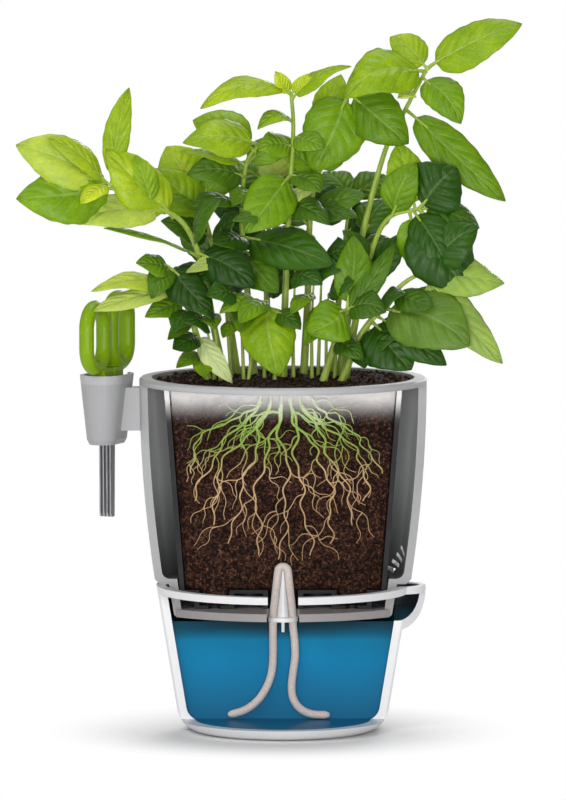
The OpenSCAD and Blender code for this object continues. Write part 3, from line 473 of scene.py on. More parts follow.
def new_piece(name, verts, faces, look, body, replaced=(), smooth=True, colours=None):
    """A mesh piece from points in millimetres, riding on a body and standing for CAD nodes."""
    mesh = bpy.data.meshes.new(name)
    points = [tuple(p) for p in np.asarray(verts) * MM]
    mesh.from_pydata(points, [], [tuple(int(i) for i in f) for f in faces])
    mesh.polygons.foreach_set("use_smooth", [smooth] * len(mesh.polygons))
    for key, values in (colours or {}).items():
        layer = mesh.attributes.new(key, "FLOAT_COLOR", "POINT")
        rgba = np.column_stack([values, np.ones(len(values))]).astype(np.float32)
        layer.data.foreach_set("color", rgba.ravel())
    mesh.validate()
    mesh.materials.append(look.material)
    piece = bpy.data.objects.new(name, mesh)
    bpy.context.scene.collection.objects.link(piece)
    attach(piece, body)
    if replaced:
        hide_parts(*replaced)
    return piece


def unit(v):
    return v / np.linalg.norm(v)


def run_along(points):
    """The length covered at each point of a way."""
    return np.concatenate([[0], np.cumsum(np.linalg.norm(np.diff(points, axis=0), axis=1))])


def spline_point(a, b, c, d, t):
    """The point at share t between b and c on a smooth curve through all four."""
    square = 2 * a - 5 * b + 4 * c - d
    cube = 3 * b - a - 3 * c + d
    return 0.5 * (2 * b + (c - a) * t + square * t ** 2 + cube * t ** 3)


SPLINE_CUTS = 12


def smooth_way(points, count):
    """A smooth curve through points, evenly cut into count points."""
    p = np.asarray(points, float)
    p = np.vstack([2 * p[0] - p[1], p, 2 * p[-1] - p[-2]])
    curve = []
    for i in range(1, len(p) - 2):
        for t in np.linspace(0, 1, SPLINE_CUTS, endpoint=False):
            curve.append(spline_point(*p[i - 1:i + 3], t))
    curve.append(p[-2])
    curve = np.array(curve)
    run = run_along(curve)
    even = np.linspace(0, run[-1], count)
    return np.column_stack([np.interp(even, run, curve[:, k]) for k in range(3)])


def at_share(points, share):
    """The point at a share of the way along straight stretches, as the CAD counts it."""
    p = np.asarray(points, float)
    run = run_along(p)
    return np.array([np.interp(share * run[-1], run, p[:, k]) for k in range(3)])


CAP_ANGLES = (0.6, 1.15, 1.5)
FIRST_ASIDE = (0.21, 1.0, 0.13)


def round_ends(way, radii):
    """A way and its radii with rings added at both ends, which close a tube roundly."""
    for end, inner in ((0, 1), (-1, -2)):
        out = unit(way[end] - way[inner])
        r = radii[end]
        tips = [way[end] + out * r * math.sin(angle) for angle in CAP_ANGLES]
        sizes = [r * math.cos(angle) for angle in CAP_ANGLES]
        if end == 0:
            way = np.vstack([tips[::-1], way])
            radii = sizes[::-1] + radii
        else:
            way = np.vstack([way, tips])
            radii = radii + sizes
    return way, radii


def tube_faces(rings, sides):
    faces = []
    for i in range(rings - 1):
        for k in range(sides):
            n = (k + 1) % sides
            faces.append((i * sides + k, i * sides + n, (i + 1) * sides + n, (i + 1) * sides + k))
    last = (rings - 1) * sides
    faces.append(tuple(range(sides))[::-1])
    faces.append(tuple(last + k for k in range(sides)))
    return faces


class Shape:
    """Gathers points and faces of one mesh, with colours for each point."""

    def __init__(self):
        self.verts, self.faces, self.colours = [], [], {}

    def extend(self, verts, faces, **colours):
        start = len(self.verts)
        self.verts.extend(verts)
        self.faces.extend([tuple(start + i for i in f) for f in faces])
        for key, values in colours.items():
            self.colours.setdefault(key, []).extend(values)

    def tube(self, way, radii, sides, square=0.0, cap=True):
        """A tube along way, with round ends, and a squarish section where square is above 0."""
        way, radii = np.asarray(way, float), list(radii)
        if cap:
            way, radii = round_ends(way, radii)
        tangents = np.gradient(way, axis=0)
        a = unit(np.cross(tangents[0], FIRST_ASIDE))
        verts = []
        for p, tangent, r in zip(way, tangents, radii):
            ahead = unit(tangent)
            a = unit(a - ahead * np.dot(a, ahead))
            b = np.cross(ahead, a)
            for k in range(sides):
                w = 2 * math.pi * k / sides
                reach = r * (1 + square * math.cos(4 * w))
                verts.append(p + reach * (a * math.cos(w) + b * math.sin(w)))
        self.extend(verts, tube_faces(len(way), sides))

    def piece(self, name, look, body, slot, replaced=(), smooth=True):
        return new_piece(name, self.verts, self.faces, look, body, replaced, smooth, self.colours)


# Wick: the loop over the spike, and the two free legs as (distance out, share of the drop), as in the CAD
LEFT_LEG = [(0, 1), (0, 0.82), (0, 0.63), (0.7, 0.45), (3.3, 0.29), (7.7, 0.15), (14, 0.05), (22, 0)]
RIGHT_LEG = [
    (0, 1), (0, 0.93), (0.7, 0.8), (1, 0.63), (0, 0.46), (-0.7, 0.31), (0, 0.18), (3.4, 0.07), (9.2, 0.01),
    (18, 0),
]
WICK_PLAY, WICK_SIDES = 0.15, 20
LOOP_RINGS, LEG_POINTS, LEG_RINGS = 90, 36, 110
LEG_END_RINGS, LEG_END_SHARE = 5, 0.35


def loop_points():
    """Up one side of the spike, over its tip and down the other side."""
    bend_r = WICK_R + SPIKE_TIP_R + WICK_PLAY
    rise = SPIKE_H - SPIKE_TIP_R
    side = [(WICK_X, 0, WICK_EXIT_Z), (WICK_X, 0, TRAY_Z)]
    for i in (1, 2, 3):
        side.append((WICK_X + (bend_r - WICK_X) * i / 3, 0, TRAY_Z + rise * i / 3))
    top = []
    for degrees in range(30, 151, 30):
        a = math.radians(degrees)
        top.append((bend_r * math.cos(a), 0, TRAY_Z + rise + bend_r * math.sin(a)))
    return side + top + [(-x, y, z) for x, y, z in side[::-1]]


def leg_radii():
    """The wick's radius along a leg, drawn in over the last rings."""
    rings_left = [LEG_RINGS - 1 - i for i in range(LEG_RINGS)]
    ends = [math.sqrt(min(1.0, left / LEG_END_RINGS)) for left in rings_left]
    return [WICK_R * (LEG_END_SHARE + (1 - LEG_END_SHARE) * end) for end in ends]


def build_wick(look):
    loop = Shape()
    loop.tube(smooth_way(loop_points(), LOOP_RINGS), [WICK_R] * LOOP_RINGS, WICK_SIDES, cap=False)
    loop.piece("wick_over_spike", look, "pot", "wick", ["wick_loop"])
    drop = WICK_EXIT_Z - WICK_REST_Z
    for name, route, sign in (("left", LEFT_LEG, -1), ("right", RIGHT_LEG, 1)):
        points = [(sign * (WICK_X + out), 0, WICK_REST_Z + drop * share) for out, share in route]
        way = smooth_way(points, LEG_POINTS)
        leg = Shape()
        leg.tube(smooth_way(points, LEG_RINGS), leg_radii(), WICK_SIDES, cap=False)
        piece = leg.piece(f"wick_{name}", look, "pot", "wick", [f"wick_{name}_leg"])


# Shoots as (x, y, height above PLANT_Z) and leaves as (share of the way up, tip, width, tilt, arch), as in
# the CAD, with each leaf's tone from dark 0 to lime 1, which stands for both its age and painted shade
# deep in the plant, and its paleness
SHOOTS = {
    "left": [(-28, -4, 0), (-34, -8, 30), (-39, -13, 58), (-48, -21, 79), (-63, -30, 89), (-85, -38, 100)],
    "left_back": [(-22, 12, 0), (-28, 14, 40), (-36, 17, 72), (-42, 19, 92)],
    "low_left": [(-36, -12, 0), (-42, -16, 25), (-49, -20, 45), (-55, -24, 58)],
    "inner_left": [(-14, 6, 0), (-17, 5, 40), (-20, 4, 79), (-18, 3, 106), (-12, 1, 116)],
    "middle": [(0, -8, 0), (1, -7, 40), (3, -4, 89), (5, -2, 123), (4, -2, 141)],
    "inner_right": [(10, 6, 0), (12, 6, 40), (14, 7, 89), (23, 6, 124), (32, 4, 141)],
    "tall": [(27, 2, 0), (33, 2, 40), (39, 3, 74), (50, 4, 114), (59, 5, 132), (70, 5, 153)],
    "right": [(30, -8, 0), (37, -9, 40), (44, -12, 68), (52, -14, 82), (66, -16, 86)],
    "low_right": [(28, -20, 0), (37, -22, 24), (49, -23, 40), (58, -23, 50), (68, -22, 56)],
    "front": [(19, -24, 0), (25, -27, 22), (31, -30, 38)],
    "back": [(-6, 30, 0), (-8, 33, 45), (-6, 35, 92)],
    "back_right": [(24, 28, 0), (28, 31, 45), (33, 33, 88)],
}
LEAVES = {
    "left": [
        (1, (-128, -44, 119), 26, 25, 5, 0.85, 0.1), (0.95, (-127, -52, 94), 30, 15, 4, 0.66, 0),
        (1, (-113, -50, 122), 13, 40, 4, 0.8, 0), (0.98, (-74, -40, 146), 13, -10, -6, 0.75, 0),
        (0.74, (-101, -46, 82), 20, 35, 5, 0.85, 0.15), (1, (-97, -54, 92), 12, 60, 2, 0.95, 0),
        (0.7, (-84, -36, 116), 26, 30, 4, 0.8, 0), (0.5, (-86, -42, 79), 13, 80, 3, 0.6, 0),
        (0.8, (-71, -34, 113), 14, 20, 3, 0.7, 0), (0.52, (-14, -30, 50), 22, 25, 4, 0.12, 0),
        (0.55, (-32, -34, 92), 16, 50, 4, 0.35, 0),
    ],
    "left_back": [
        (1, (-57, 22, 114), 26, 20, 3, 0.8, 0), (0.9, (-61, 4, 93), 16, 60, 4, 0.5, 0),
        (0.95, (-24, 30, 108), 18, 50, 4, 0.6, 0), (0.6, (-50, 38, 70), 20, 60, 4, 0.4, 0),
        (0.5, (-52, 2, 56), 19, 40, 5, 0.3, 0), (0.85, (-62, 8, 104), 22, 25, 4, 0.7, 0),
        (0.75, (-58, 6, 80), 18, 40, 4, 0.35, 0), (0.7, (-22, -6, 84), 19, 40, 4, 0.3, 0),
    ],
    "low_left": [
        (1, (-70, -36, 62), 15, 40, 3, 0.5, 0), (0.85, (-92, -40, 49), 14, 55, 4, 0.9, 0.1),
        (0.72, (-66, -36, 36), 13, 30, 2, 0.5, 0), (0.42, (-53, -37, 20), 13, 20, 3, 0.22, 0),
        (0.22, (-38, -38, 6), 11, 20, 3, 0.65, 0), (0.42, (-25, -38, 4), 11, 10, 2, 0.95, 0.8),
        (0.85, (-60, -14, 50), 17, 45, 4, 0.35, 0), (1, (-63, -40, 45), 13, 15, 4, 0.4, 0),
        (1, (-34, -36, 37), 20, 40, 4, 0.14, 0), (0.6, (-52, -38, 30), 15, 30, 4, 0.3, 0),
        (0.55, (-55, -38, 25), 8, 10, 2, 0.4, 0), (0.25, (-51, -35, 11), 9, 25, 3, 0.5, 0),
        (0.82, (-91, -44, 39), 12, 40, 2, 0.9, 0.25),
    ],
    "inner_left": [
        (1, (-48, -8, 119), 22, 35, 6, 0.75, 0), (0.97, (-44, 14, 128), 22, 30, 4, 0.7, 0),
        (0.9, (-50, 0, 114), 13, 70, 3, 0.75, 0), (0.85, (-45, -14, 104), 20, 35, 4, 0.4, 0),
        (0.72, (-43, -20, 90), 16, 60, 5, 0.35, 0), (0.42, (-41, -24, 58), 23, 25, 4, 0.15, 0),
        (0.34, (-21, -38, 28), 15, 40, 4, 0.5, 0), (0.55, (-3, -28, 47), 20, 15, 4, 0.4, 0),
        (0.6, (-34, -26, 70), 16, 30, 4, 0.3, 0), (0.58, (-46, -32, 57), 10, 10, 2, 0.8, 0.3),
        (0.8, (-24, -18, 88), 14, 30, 4, 0.45, 0), (0.9, (2, 16, 120), 16, 40, 4, 0.6, 0),
        (0.6, (24, -30, 60), 23, 25, 5, 0.32, 0),
    ],
    "middle": [
        (1, (-40, -12, 135), 18, 60, 10, 0.8, 0), (1, (-3, -8, 152), 8, 20, 1, 1, 0),
        (1, (13, -6, 151), 8, 20, 1, 1, 0), (0.98, (32, -10, 156), 14, 60, 4, 0.75, 0),
        (0.9, (-12, -14, 126), 12, 60, 6, 0.7, 0), (0.82, (-11, -14, 116), 15, 30, 2, 0.6, 0),
        (0.72, (-18, -24, 75), 25, 15, 5, 0.6, 0), (0.72, (18, -20, 94), 15, 50, 3, 0.45, 0),
        (0.6, (-24, -26, 82), 12, 30, 3, 0.4, 0), (0.62, (22, -24, 80), 15, 40, 4, 0.35, 0),
        (0.85, (20, -12, 116), 14, 40, 3, 0.6, 0),
    ],
    "inner_right": [
        (1, (15, -6, 104), 31, 8, 4, 0.6, 0), (1, (60, -10, 118), 26, 5, 4, 0.5, 0),
        (0.7, (36, 18, 130), 20, 30, 3, 0.55, 0), (0.67, (-2, -14, 84), 9, 60, 3, 0.95, 0.35),
        (0.59, (36, -8, 82), 17, 45, 4, 0.35, 0), (0.52, (-6, 26, 86), 20, 50, 4, 0.35, 0),
        (0.85, (28, 10, 150), 18, 40, 4, 0.75, 0), (0.56, (40, -2, 92), 17, 40, 4, 0.4, 0),
        (0.37, (-12, 4, 70), 19, 35, 4, 0.22, 0), (0.7, (-6, 0, 122), 14, 40, 3, 0.6, 0),
    ],
    "tall": [
        (1, (115, -4, 176), 24, 35, 4, 0.72, 0), (1, (52, 12, 168), 17, 30, 3, 0.75, 0),
        (0.99, (30, -12, 142), 27, 35, 7, 0.72, 0), (0.97, (86, -10, 128), 19, 20, 4, 0.6, 0),
        (0.86, (108, -6, 89), 20, 15, 6, 0.55, 0), (0.45, (54, 18, 90), 18, 45, 4, 0.35, 0),
        (0.92, (56, -6, 140), 8, 40, 2, 1, 0.2), (0.3, (52, 14, 62), 20, 40, 4, 0.22, 0),
    ],
    "right": [
        (0.86, (64, -20, 108), 18, 10, 3, 0.55, 0), (0.98, (56, -8, 118), 20, 20, 4, 0.72, 0),
        (1, (90, -24, 46), 34, 20, 8, 0.2, 0), (0.95, (68, -14, 52), 22, 20, 5, 0.6, 0),
        (1, (96, -12, 78), 22, 40, 6, 0.35, 0), (0.5, (58, -6, 74), 16, 40, 3, 0.3, 0),
        (0.97, (80, -28, 58), 20, 10, 6, 0.25, 0), (0.6, (30, -26, 76), 12, 30, 3, 0.35, 0),
        (1, (84, -18, 106), 30, 15, 4, 0.2, 0),
    ],
    "low_right": [
        (1, (93, -28, 79), 23, 20, 4, 0.28, 0), (1, (107, -26, 51), 22, 30, 4, 0.7, 0.15),
        (0.97, (106, -32, 12), 19, 25, 6, 0.7, 0.2), (0.62, (90, -44, 22), 34, 25, 6, 0.44, 0.05),
        (0.58, (58, -36, 47), 18, 50, 4, 0.3, 0), (0.5, (62, -34, 9), 28, 30, 5, 0.22, 0),
        (0.45, (50, -32, 12), 14, 30, 3, 0.3, 0), (1, (95, -14, 60), 17, 60, 4, 0.35, 0),
        (0.55, (79, -34, 12), 18, 25, 4, 0.25, 0), (0.75, (72, -40, 40), 15, 30, 3, 0.35, 0),
        (0.3, (56, -34, 26), 15, 35, 3, 0.3, 0), (0.3, (39, -38, 11), 12, 10, 3, 0.25, 0),
    ],
    "front": [
        (1, (34, -34, 74), 18, -10, -3, 0.5, 0), (1, (12, -42, 28), 24, 25, 5, 0.58, 0),
        (1, (49, -40, 39), 18, 40, 4, 0.35, 0), (0.9, (54, -24, 70), 12, 30, 3, 0.4, 0),
        (0.6, (38, -42, 16), 13, 35, 3, 0.35, 0),
    ],
    "back": [
        (1, (-26, 42, 104), 22, 55, 4, 0.5, 0), (1, (14, 44, 106), 22, 55, 4, 0.5, 0),
        (0.7, (-30, 48, 74), 22, 50, 4, 0.4, 0), (0.7, (16, 50, 70), 22, 50, 4, 0.35, 0),
        (1, (-4, 36, 120), 17, 20, 3, 0.9, 0.25), (0.5, (8, 18, 48), 22, 30, 4, 0.2, 0),
        (0.75, (-34, 22, 84), 20, 30, 4, 0.25, 0),
    ],
    "back_right": [
        (1, (56, 40, 98), 21, 55, 4, 0.45, 0), (1, (20, 46, 100), 19, 60, 4, 0.45, 0),
        (0.7, (54, 46, 66), 21, 50, 4, 0.4, 0), (0.8, (48, 22, 80), 20, 30, 4, 0.25, 0),
        (0.9, (10, 24, 90), 20, 30, 4, 0.25, 0),
    ],
}
THIN_SHOOTS = [
    [(-33, -16, 0), (-35, -18, 18), (-38, -20, 34)], [(-30, -22, 0), (-32, -23, 20), (-34, -25, 36)],
    [(-25, -8, 0), (-27, -9, 28), (-29, -11, 50)], [(-19, -16, 0), (-20, -17, 26), (-22, -19, 44)],
    [(-17, -18, 0), (-14, -18, 24), (-12, -18, 42)], [(-9, -12, 0), (-9, -13, 22), (-8, -14, 41)],
    [(-4, -22, 0), (-4, -21, 20), (-3, -20, 36)], [(5, -14, 0), (5, -15, 30), (6, -16, 56)],
    [(14, -12, 0), (14, -12, 30), (15, -12, 52)], [(17, -4, 0), (18, -4, 32), (19, -5, 60)],
    [(21, -16, 0), (21, -16, 26), (22, -17, 44)], [(25, -10, 0), (26, -10, 30), (28, -11, 54)],
]
THIN_LEAVES = [
    [(1, (-33, -38, 30), 11, 55, 3, 0.5, 0), (0.9, (-46, -36, 34), 16, 30, 3, 0.25, 0)],
    [(1, (-44, -38, 40), 17, 35, 4, 0.2, 0)],
    [(1, (-42, -26, 54), 18, 35, 4, 0.12, 0)],
    [(1, (-36, -36, 46), 15, 30, 4, 0.3, 0), (0.7, (-29, -37, 25), 9, 60, 3, 0.5, 0)],
    [(1, (-30, -34, 38), 12, 40, 3, 0.6, 0)],
    [(1, (-2, -41, 7), 27, 20, 6, 0.7, 0), (1, (-21, -40, 33), 13, 35, 4, 0.6, 0)],
    [(1, (8, -36, 30), 12, 30, 3, 0.35, 0)],
    [(1, (18, -32, 52), 16, 30, 3, 0.3, 0)],
    [(0.85, (4, -38, 38), 10, 70, 3, 0.6, 0), (1, (26, -30, 58), 14, 30, 3, 0.3, 0)],
    [(1, (32, -20, 66), 17, 30, 3, 0.28, 0)],
    [(0.9, (11, -41, 22), 12, 20, 3, 0.55, 0), (1, (34, -32, 52), 13, 30, 3, 0.3, 0)],
    [(1, (44, -26, 58), 17, 30, 3, 0.25, 0)],
]
STEM_R, STEM_TIP_R, THIN_SHARE = 1.95, 0.85, 0.5
STEM_RINGS, STEM_SIDES, STEM_SQUARE = 40, 16, 0.06
STALK_END, STALK_RINGS, STALK_SIDES = 0.12, 9, 8
LEAF_T, LEAF_DOME = 0.45, 0.2
LEAF_ROWS, LEAF_COLUMNS = 28, 15
LEAF_COUNT = LEAF_ROWS * LEAF_COLUMNS

# How leaves differ: quilting, wavy edge, hooked tip, twist, sideways bend and where a wave starts
LEAF_PUCKER, LEAF_RUFFLE, LEAF_HOOK = (0.05, 0.09), (0.05, 0.13), (-0.06, 0.2)
LEAF_TWIST, LEAF_BEND = (-0.5, 0.5), (-0.13, 0.13)
WAVE_TURN = 6.3
PHASES = (0, WAVE_TURN)


def leaf_faces():
    """Faces of a blade's top, its underside and the rim between them."""
    cells = np.arange(LEAF_COUNT).reshape(LEAF_ROWS, LEAF_COLUMNS).tolist()
    faces = []
    for row, after in zip(cells, cells[1:]):
        for k in range(LEAF_COLUMNS - 1):
            a, b, c, d = row[k], row[k + 1], after[k + 1], after[k]
            faces.append((a, b, c, d))
            faces.append((LEAF_COUNT + d, LEAF_COUNT + c, LEAF_COUNT + b, LEAF_COUNT + a))
    rim = cells[0] + [row[-1] for row in cells[1:]]
    rim += cells[-1][-2::-1] + [row[0] for row in cells[-2:0:-1]]
    for a, b in zip(rim, rim[1:] + rim[:1]):
        faces.append((b, a, LEAF_COUNT + a, LEAF_COUNT + b))
    return faces


def leaf_lift(s, v, half, pucker, ruffle, phase):
    """Height over the spine at share s along and v across: quilting, wavy edge, sunken midrib and dome."""
    out = abs(v)
    run = (s - out * VEIN_SWEEP) * VEIN_PAIRS
    bulge = math.sin(math.pi * run) ** 2 * pucker * half * out ** 0.5 * (1 - out ** 3)
    wave = ruffle * half * out ** 3 * math.sin(9 * s + phase + (1.7 if v > 0 else 0))
    crease = 0.1 * half * math.exp(-(out / 0.13) ** 2)
    return bulge + wave - crease - half * LEAF_DOME * out ** 2


def leaf_axes(ahead, tilt):
    """A blade's directions up and across, tilted by degrees from facing the front to facing up."""
    tilt = math.radians(tilt)
    facing = np.array([0, -math.cos(tilt), math.sin(tilt)])
    up = unit(facing - np.dot(facing, ahead) * ahead)
    return up, np.cross(ahead, up)


def add_stalk(stalks, base, way, up, arch, width):
    foot = base - up * 0.4
    middle = base + way * STALK_END * 0.5 + up * arch * 0.2
    end = base + way * (STALK_END + 0.1) + up * (4 * arch * 0.2 - 0.7)
    radius = 0.45 + 0.018 * width
    radii = np.linspace(radius * 1.25, radius * 0.6, STALK_RINGS)
    stalks.tube(smooth_way([foot, middle, end], STALK_RINGS), radii, STALK_SIDES)


def leaf(shape, stalks, base, tip, width, tilt, arch, age_and_shade, pale, rng):
    """A domed blade, quilted between its sunken veins, and its stalk."""
    way = np.array(tip, float) - base
    up, across = leaf_axes(unit(way), tilt)
    pucker, ruffle, phase = rng.uniform(*LEAF_PUCKER), rng.uniform(*LEAF_RUFFLE), rng.uniform(*PHASES)
    hook, twist, bend = rng.uniform(*LEAF_HOOK), rng.uniform(*LEAF_TWIST), rng.uniform(*LEAF_BEND)
    top, place = [], []
    for i in range(LEAF_ROWS):
        s = i / (LEAF_ROWS - 1)
        t = STALK_END - 0.02 + (1.02 - STALK_END) * s
        half = width / 2 * max(0.02, math.sin(math.pi * s ** 0.75) ** (0.62 + 0.12 * s))
        droop = hook * width * max(0, s - 0.6) ** 2 * 5
        spine = base + way * t + up * (4 * arch * t * (1 - t) - droop)
        spine = spine + across * bend * width * 4 * s * (1 - s)
        turn = twist * (s - 0.4)
        flat = across * math.cos(turn) + up * math.sin(turn)
        rise = up * math.cos(turn) - across * math.sin(turn)
        for k in range(LEAF_COLUMNS):
            v = -1 + 2 * k / (LEAF_COLUMNS - 1)
            tooth = 1 + 0.02 * (abs(v) > 0.99) * math.sin(38 * s)
            top.append(spine + flat * half * v * tooth + rise * leaf_lift(s, v, half, pucker, ruffle, phase))
            place.append((s, (v + 1) / 2, 0))
    low = [p - up * LEAF_T for p in top]
    tint = [(age_and_shade, 0, pale)] * LEAF_COUNT + [(age_and_shade, 1, pale)] * LEAF_COUNT
    shape.extend(top + low, leaf_faces(), place=place * 2, tint=tint)
    add_stalk(stalks, base, way, up, arch, width)


def lifted(points):
    return [(x, y, z + PLANT_Z) for x, y, z in points]


def build_plant(leaf_look, stem_look):
    rng = random.Random(11)
    shoots = [(name, route, LEAVES[name], 1.0) for name, route in SHOOTS.items()]
    for number, (route, rows) in enumerate(zip(THIN_SHOOTS, THIN_LEAVES), 1):
        shoots.append((f"thin_{number}", route, rows, THIN_SHARE))
    for name, route, rows, share_r in shoots:
        route = lifted(route)
        blades, stems = Shape(), Shape()
        foot = (route[0][0], route[0][1], STEM_FOOT_Z)
        way = smooth_way([foot] + route[1:], STEM_RINGS)
        radii = np.linspace(STEM_R, STEM_TIP_R, STEM_RINGS) * share_r
        stems.tube(way, radii, STEM_SIDES, square=STEM_SQUARE)
        for share, tip, width, tilt, arch, age_and_shade, pale in rows:
            base = at_share(route, share)
            leaf(blades, stems, base, lifted([tip])[0], width, tilt, arch, age_and_shade, pale, rng)
        blades.piece(f"leaves_{name}", leaf_look, "nursery", "leaf", ["basil_leaves"])
        stems.piece(f"stem_{name}", stem_look, "nursery", "stem", ["basil_stems"])


# Roots, by the CAD's own rule: a fan of mains on the soil's face, here with finer side roots
ROOT_COUNT, ROOT_FAN, ROOT_REACH, ROOT_DEPTH, ROOT_STEPS = 11, 78, 46, 86, 9
ROOT_CROWN, ROOT_TOP_Z, ROOT_WAVE, ROOT_WAVE_TURN, ROOT_SETTLE = 12, 169.6, 2, 400, 10
ROOT_SUNK = 0.2
ROOT_TIP_R, ROOT_CROWN_R, ROOT_TAPER = 0.33, 0.75, 2.4
ROOT_RINGS, BRANCH_RINGS, TWIG_RINGS = 60, 26, 14
ROOT_SIDES, THIN_ROOT_SIDES = 8, 6
ROOT_SWAY = 1.5
BRANCH_SHARES = (0.17, 0.32, 0.5, 0.66, 0.84)
BRANCH_TIP_R, TWIG_R, TWIG_TIP_R = 0.16, 0.27, 0.12
BRANCH_L, TWIG_L = (16, 40), (8, 18)
BRANCH_STEPS, TWIG_STEPS = 9, 6

# The part of the soil's face where side roots run
FACE_FOOT_Z, FACE_TOP_Z, FACE_FOOT_HALF, FACE_SLOPE = 80, 166, 44, 0.075


def root_way(i):
    f = 2 * i / (ROOT_COUNT - 1) - 1
    a = math.radians(ROOT_FAN * f)
    side = 1 if i % 2 == 0 else -1
    points = []
    for k in range(ROOT_STEPS + 1):
        t = k / ROOT_STEPS
        x = ROOT_CROWN * f * (1 - t) + ROOT_REACH * math.sin(a) * t * t * (3 - 2 * t)
        x += ROOT_WAVE * side * math.sin(math.radians(ROOT_WAVE_TURN * t))
        drop = ROOT_SETTLE * math.sin(math.pi / 2 * min(1, 4 * t))
        drop += (ROOT_DEPTH - ROOT_SETTLE) * (0.7 * math.cos(a) * t * (0.4 + 0.6 * t) + 0.3 * t * t)
        points.append((x, FACE_Y - ROOT_SUNK, ROOT_TOP_Z - drop))
    return points


def swayed(way, rng):
    """The same root with an uneven wave that grows from the crown down."""
    turns, phase = rng.uniform(2.2, 3.4), rng.uniform(*PHASES)
    for k, p in enumerate(way):
        t = k / (len(way) - 1)
        angle = WAVE_TURN * turns * t
        wave = math.sin(phase + angle) + 0.6 * math.sin(2 * phase + 2.3 * angle)
        p[0] += ROOT_SWAY * min(1, 3 * t) * wave
    return way


def inside_face(p):
    half = FACE_FOOT_HALF + (p[2] - FACE_FOOT_Z) * FACE_SLOPE
    return abs(p[0]) < half and FACE_FOOT_Z < p[2] < FACE_TOP_Z


def wander(start, heading, length, rng, steps):
    """A thin root that sways over the soil's face from start, as far as the face goes."""
    p, points = np.array(start, float), [np.array(start, float)]
    sway, phase = rng.uniform(0.35, 0.7), rng.uniform(*PHASES)
    for k in range(steps):
        heading -= 0.1 * math.sin(heading)
        turned = heading + sway * math.sin(phase + 1.3 * k)
        p = p + length / steps * np.array([math.sin(turned), 0, -math.cos(turned)])
        points.append(p.copy())
    return [p for p in points if inside_face(p)]


def add_branch(shape, start, heading, radius, rng):
    """A side root and the twig that forks from it."""
    branch = wander(start, heading, rng.uniform(*BRANCH_L), rng, BRANCH_STEPS)
    if len(branch) < 5:
        return
    radii = np.linspace(radius, BRANCH_TIP_R, BRANCH_RINGS)
    shape.tube(smooth_way(branch, BRANCH_RINGS), radii, THIN_ROOT_SIDES)
    turned = heading + rng.choice((-1, 1)) * rng.uniform(0.5, 1.1)
    twig = wander(branch[3], turned, rng.uniform(*TWIG_L), rng, TWIG_STEPS)
    if len(twig) > 3:
        radii = np.linspace(TWIG_R, TWIG_TIP_R, TWIG_RINGS)
        shape.tube(smooth_way(twig, TWIG_RINGS), radii, THIN_ROOT_SIDES)


def build_roots(look):
    rng = random.Random(4)
    shape = Shape()
    for i in range(ROOT_COUNT):
        way = swayed(smooth_way(root_way(i), ROOT_RINGS), rng)
        radii = np.linspace(1, 0, ROOT_RINGS) ** ROOT_TAPER * ROOT_CROWN_R + ROOT_TIP_R
        shape.tube(way, radii, ROOT_SIDES)
        side = rng.choice((-1, 1))
        for share in BRANCH_SHARES:
            k = int(share * (ROOT_RINGS - 1))
            ahead = way[k + 1] - way[k]
            side = -side
            heading = math.atan2(ahead[0], -ahead[2]) + side * rng.uniform(0.5, 0.95)
            if share == BRANCH_SHARES[0]:
                heading = math.copysign(rng.uniform(1.1, 1.6), way[k][0])
            add_branch(shape, way[k], heading, radii[k] * 0.62, rng)
    shape.piece("root_fan", look, "nursery", "root", ["roots"])


def copy_of(name, node, look, body):
    """A copy of a CAD node's mesh that stands for it."""
    piece = bpy.data.objects.new(name, NODES[node].data.copy())
    bpy.context.scene.collection.objects.link(piece)
    piece.data.materials.clear()
    piece.data.materials.append(look.material)
    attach(piece, body)
    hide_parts(node)
    return piece


def remesh(piece, voxel):
    step = piece.modifiers.new("remesh", "REMESH")
    step.mode = "VOXEL"
    step.voxel_size = voxel * MM
    step.use_smooth_shade = True


def rough_up(piece, name, size, strength):
    texture = bpy.data.textures.new(name, "CLOUDS")
    texture.noise_scale = size * MM
    texture.noise_depth = 2
    step = piece.modifiers.new(name, "DISPLACE")
    step.texture = texture
    step.texture_coords = "GLOBAL"
    step.strength = strength * MM
    step.mid_level = 0.55


SOIL_VOXEL = 0.8
GRAIN_COUNT, GRAIN_SIZE, GRAIN_AREA_R = 900, (0.5, 1.5), 62
GRAIN_CORNERS = [(1, 0, 0), (-1, 0, 0), (0, 1, 0), (0, -1, 0), (0, 0, 1), (0, 0, -1)]
GRAIN_FACES = [(0, 2, 4), (2, 1, 4), (1, 3, 4), (3, 0, 4), (2, 0, 5), (1, 2, 5), (3, 1, 5), (0, 3, 5)]


def add_grain(grains, rng):
    """One loose grain on the soil's crown, an uneven eight-sided crumb."""
    r = (GRAIN_AREA_R - 0.5) * math.sqrt(rng.random())
    a = rng.uniform(0, 2 * math.pi)
    size = rng.uniform(*GRAIN_SIZE)
    height = SOIL_Z + SOIL_CROWN * (1 - r / GRAIN_AREA_R) + 0.1
    centre = np.array([r * math.cos(a), r * math.sin(a), height])
    squash = [rng.uniform(0.7, 1.5) for _ in range(3)]
    verts = []
    for corner in GRAIN_CORNERS:
        reach = [c * s * rng.uniform(0.8, 1.2) for c, s in zip(corner, squash)]
        verts.append(centre + size * 0.7 * np.array(reach))
    grains.extend(verts, GRAIN_FACES)


def build_soil(look):
    rng = random.Random(21)
    piece = copy_of("soil_block", "potting_soil", look, "nursery")
    remesh(piece, SOIL_VOXEL)
    rough_up(piece, "soil_lumps", 5, 0.9)
    rough_up(piece, "soil_crumbs", 1.6, 0.9)
    grains = Shape()
    for _ in range(GRAIN_COUNT):
        add_grain(grains, rng)
    grains.piece("soil_grains", look, "nursery", "soil", smooth=False)


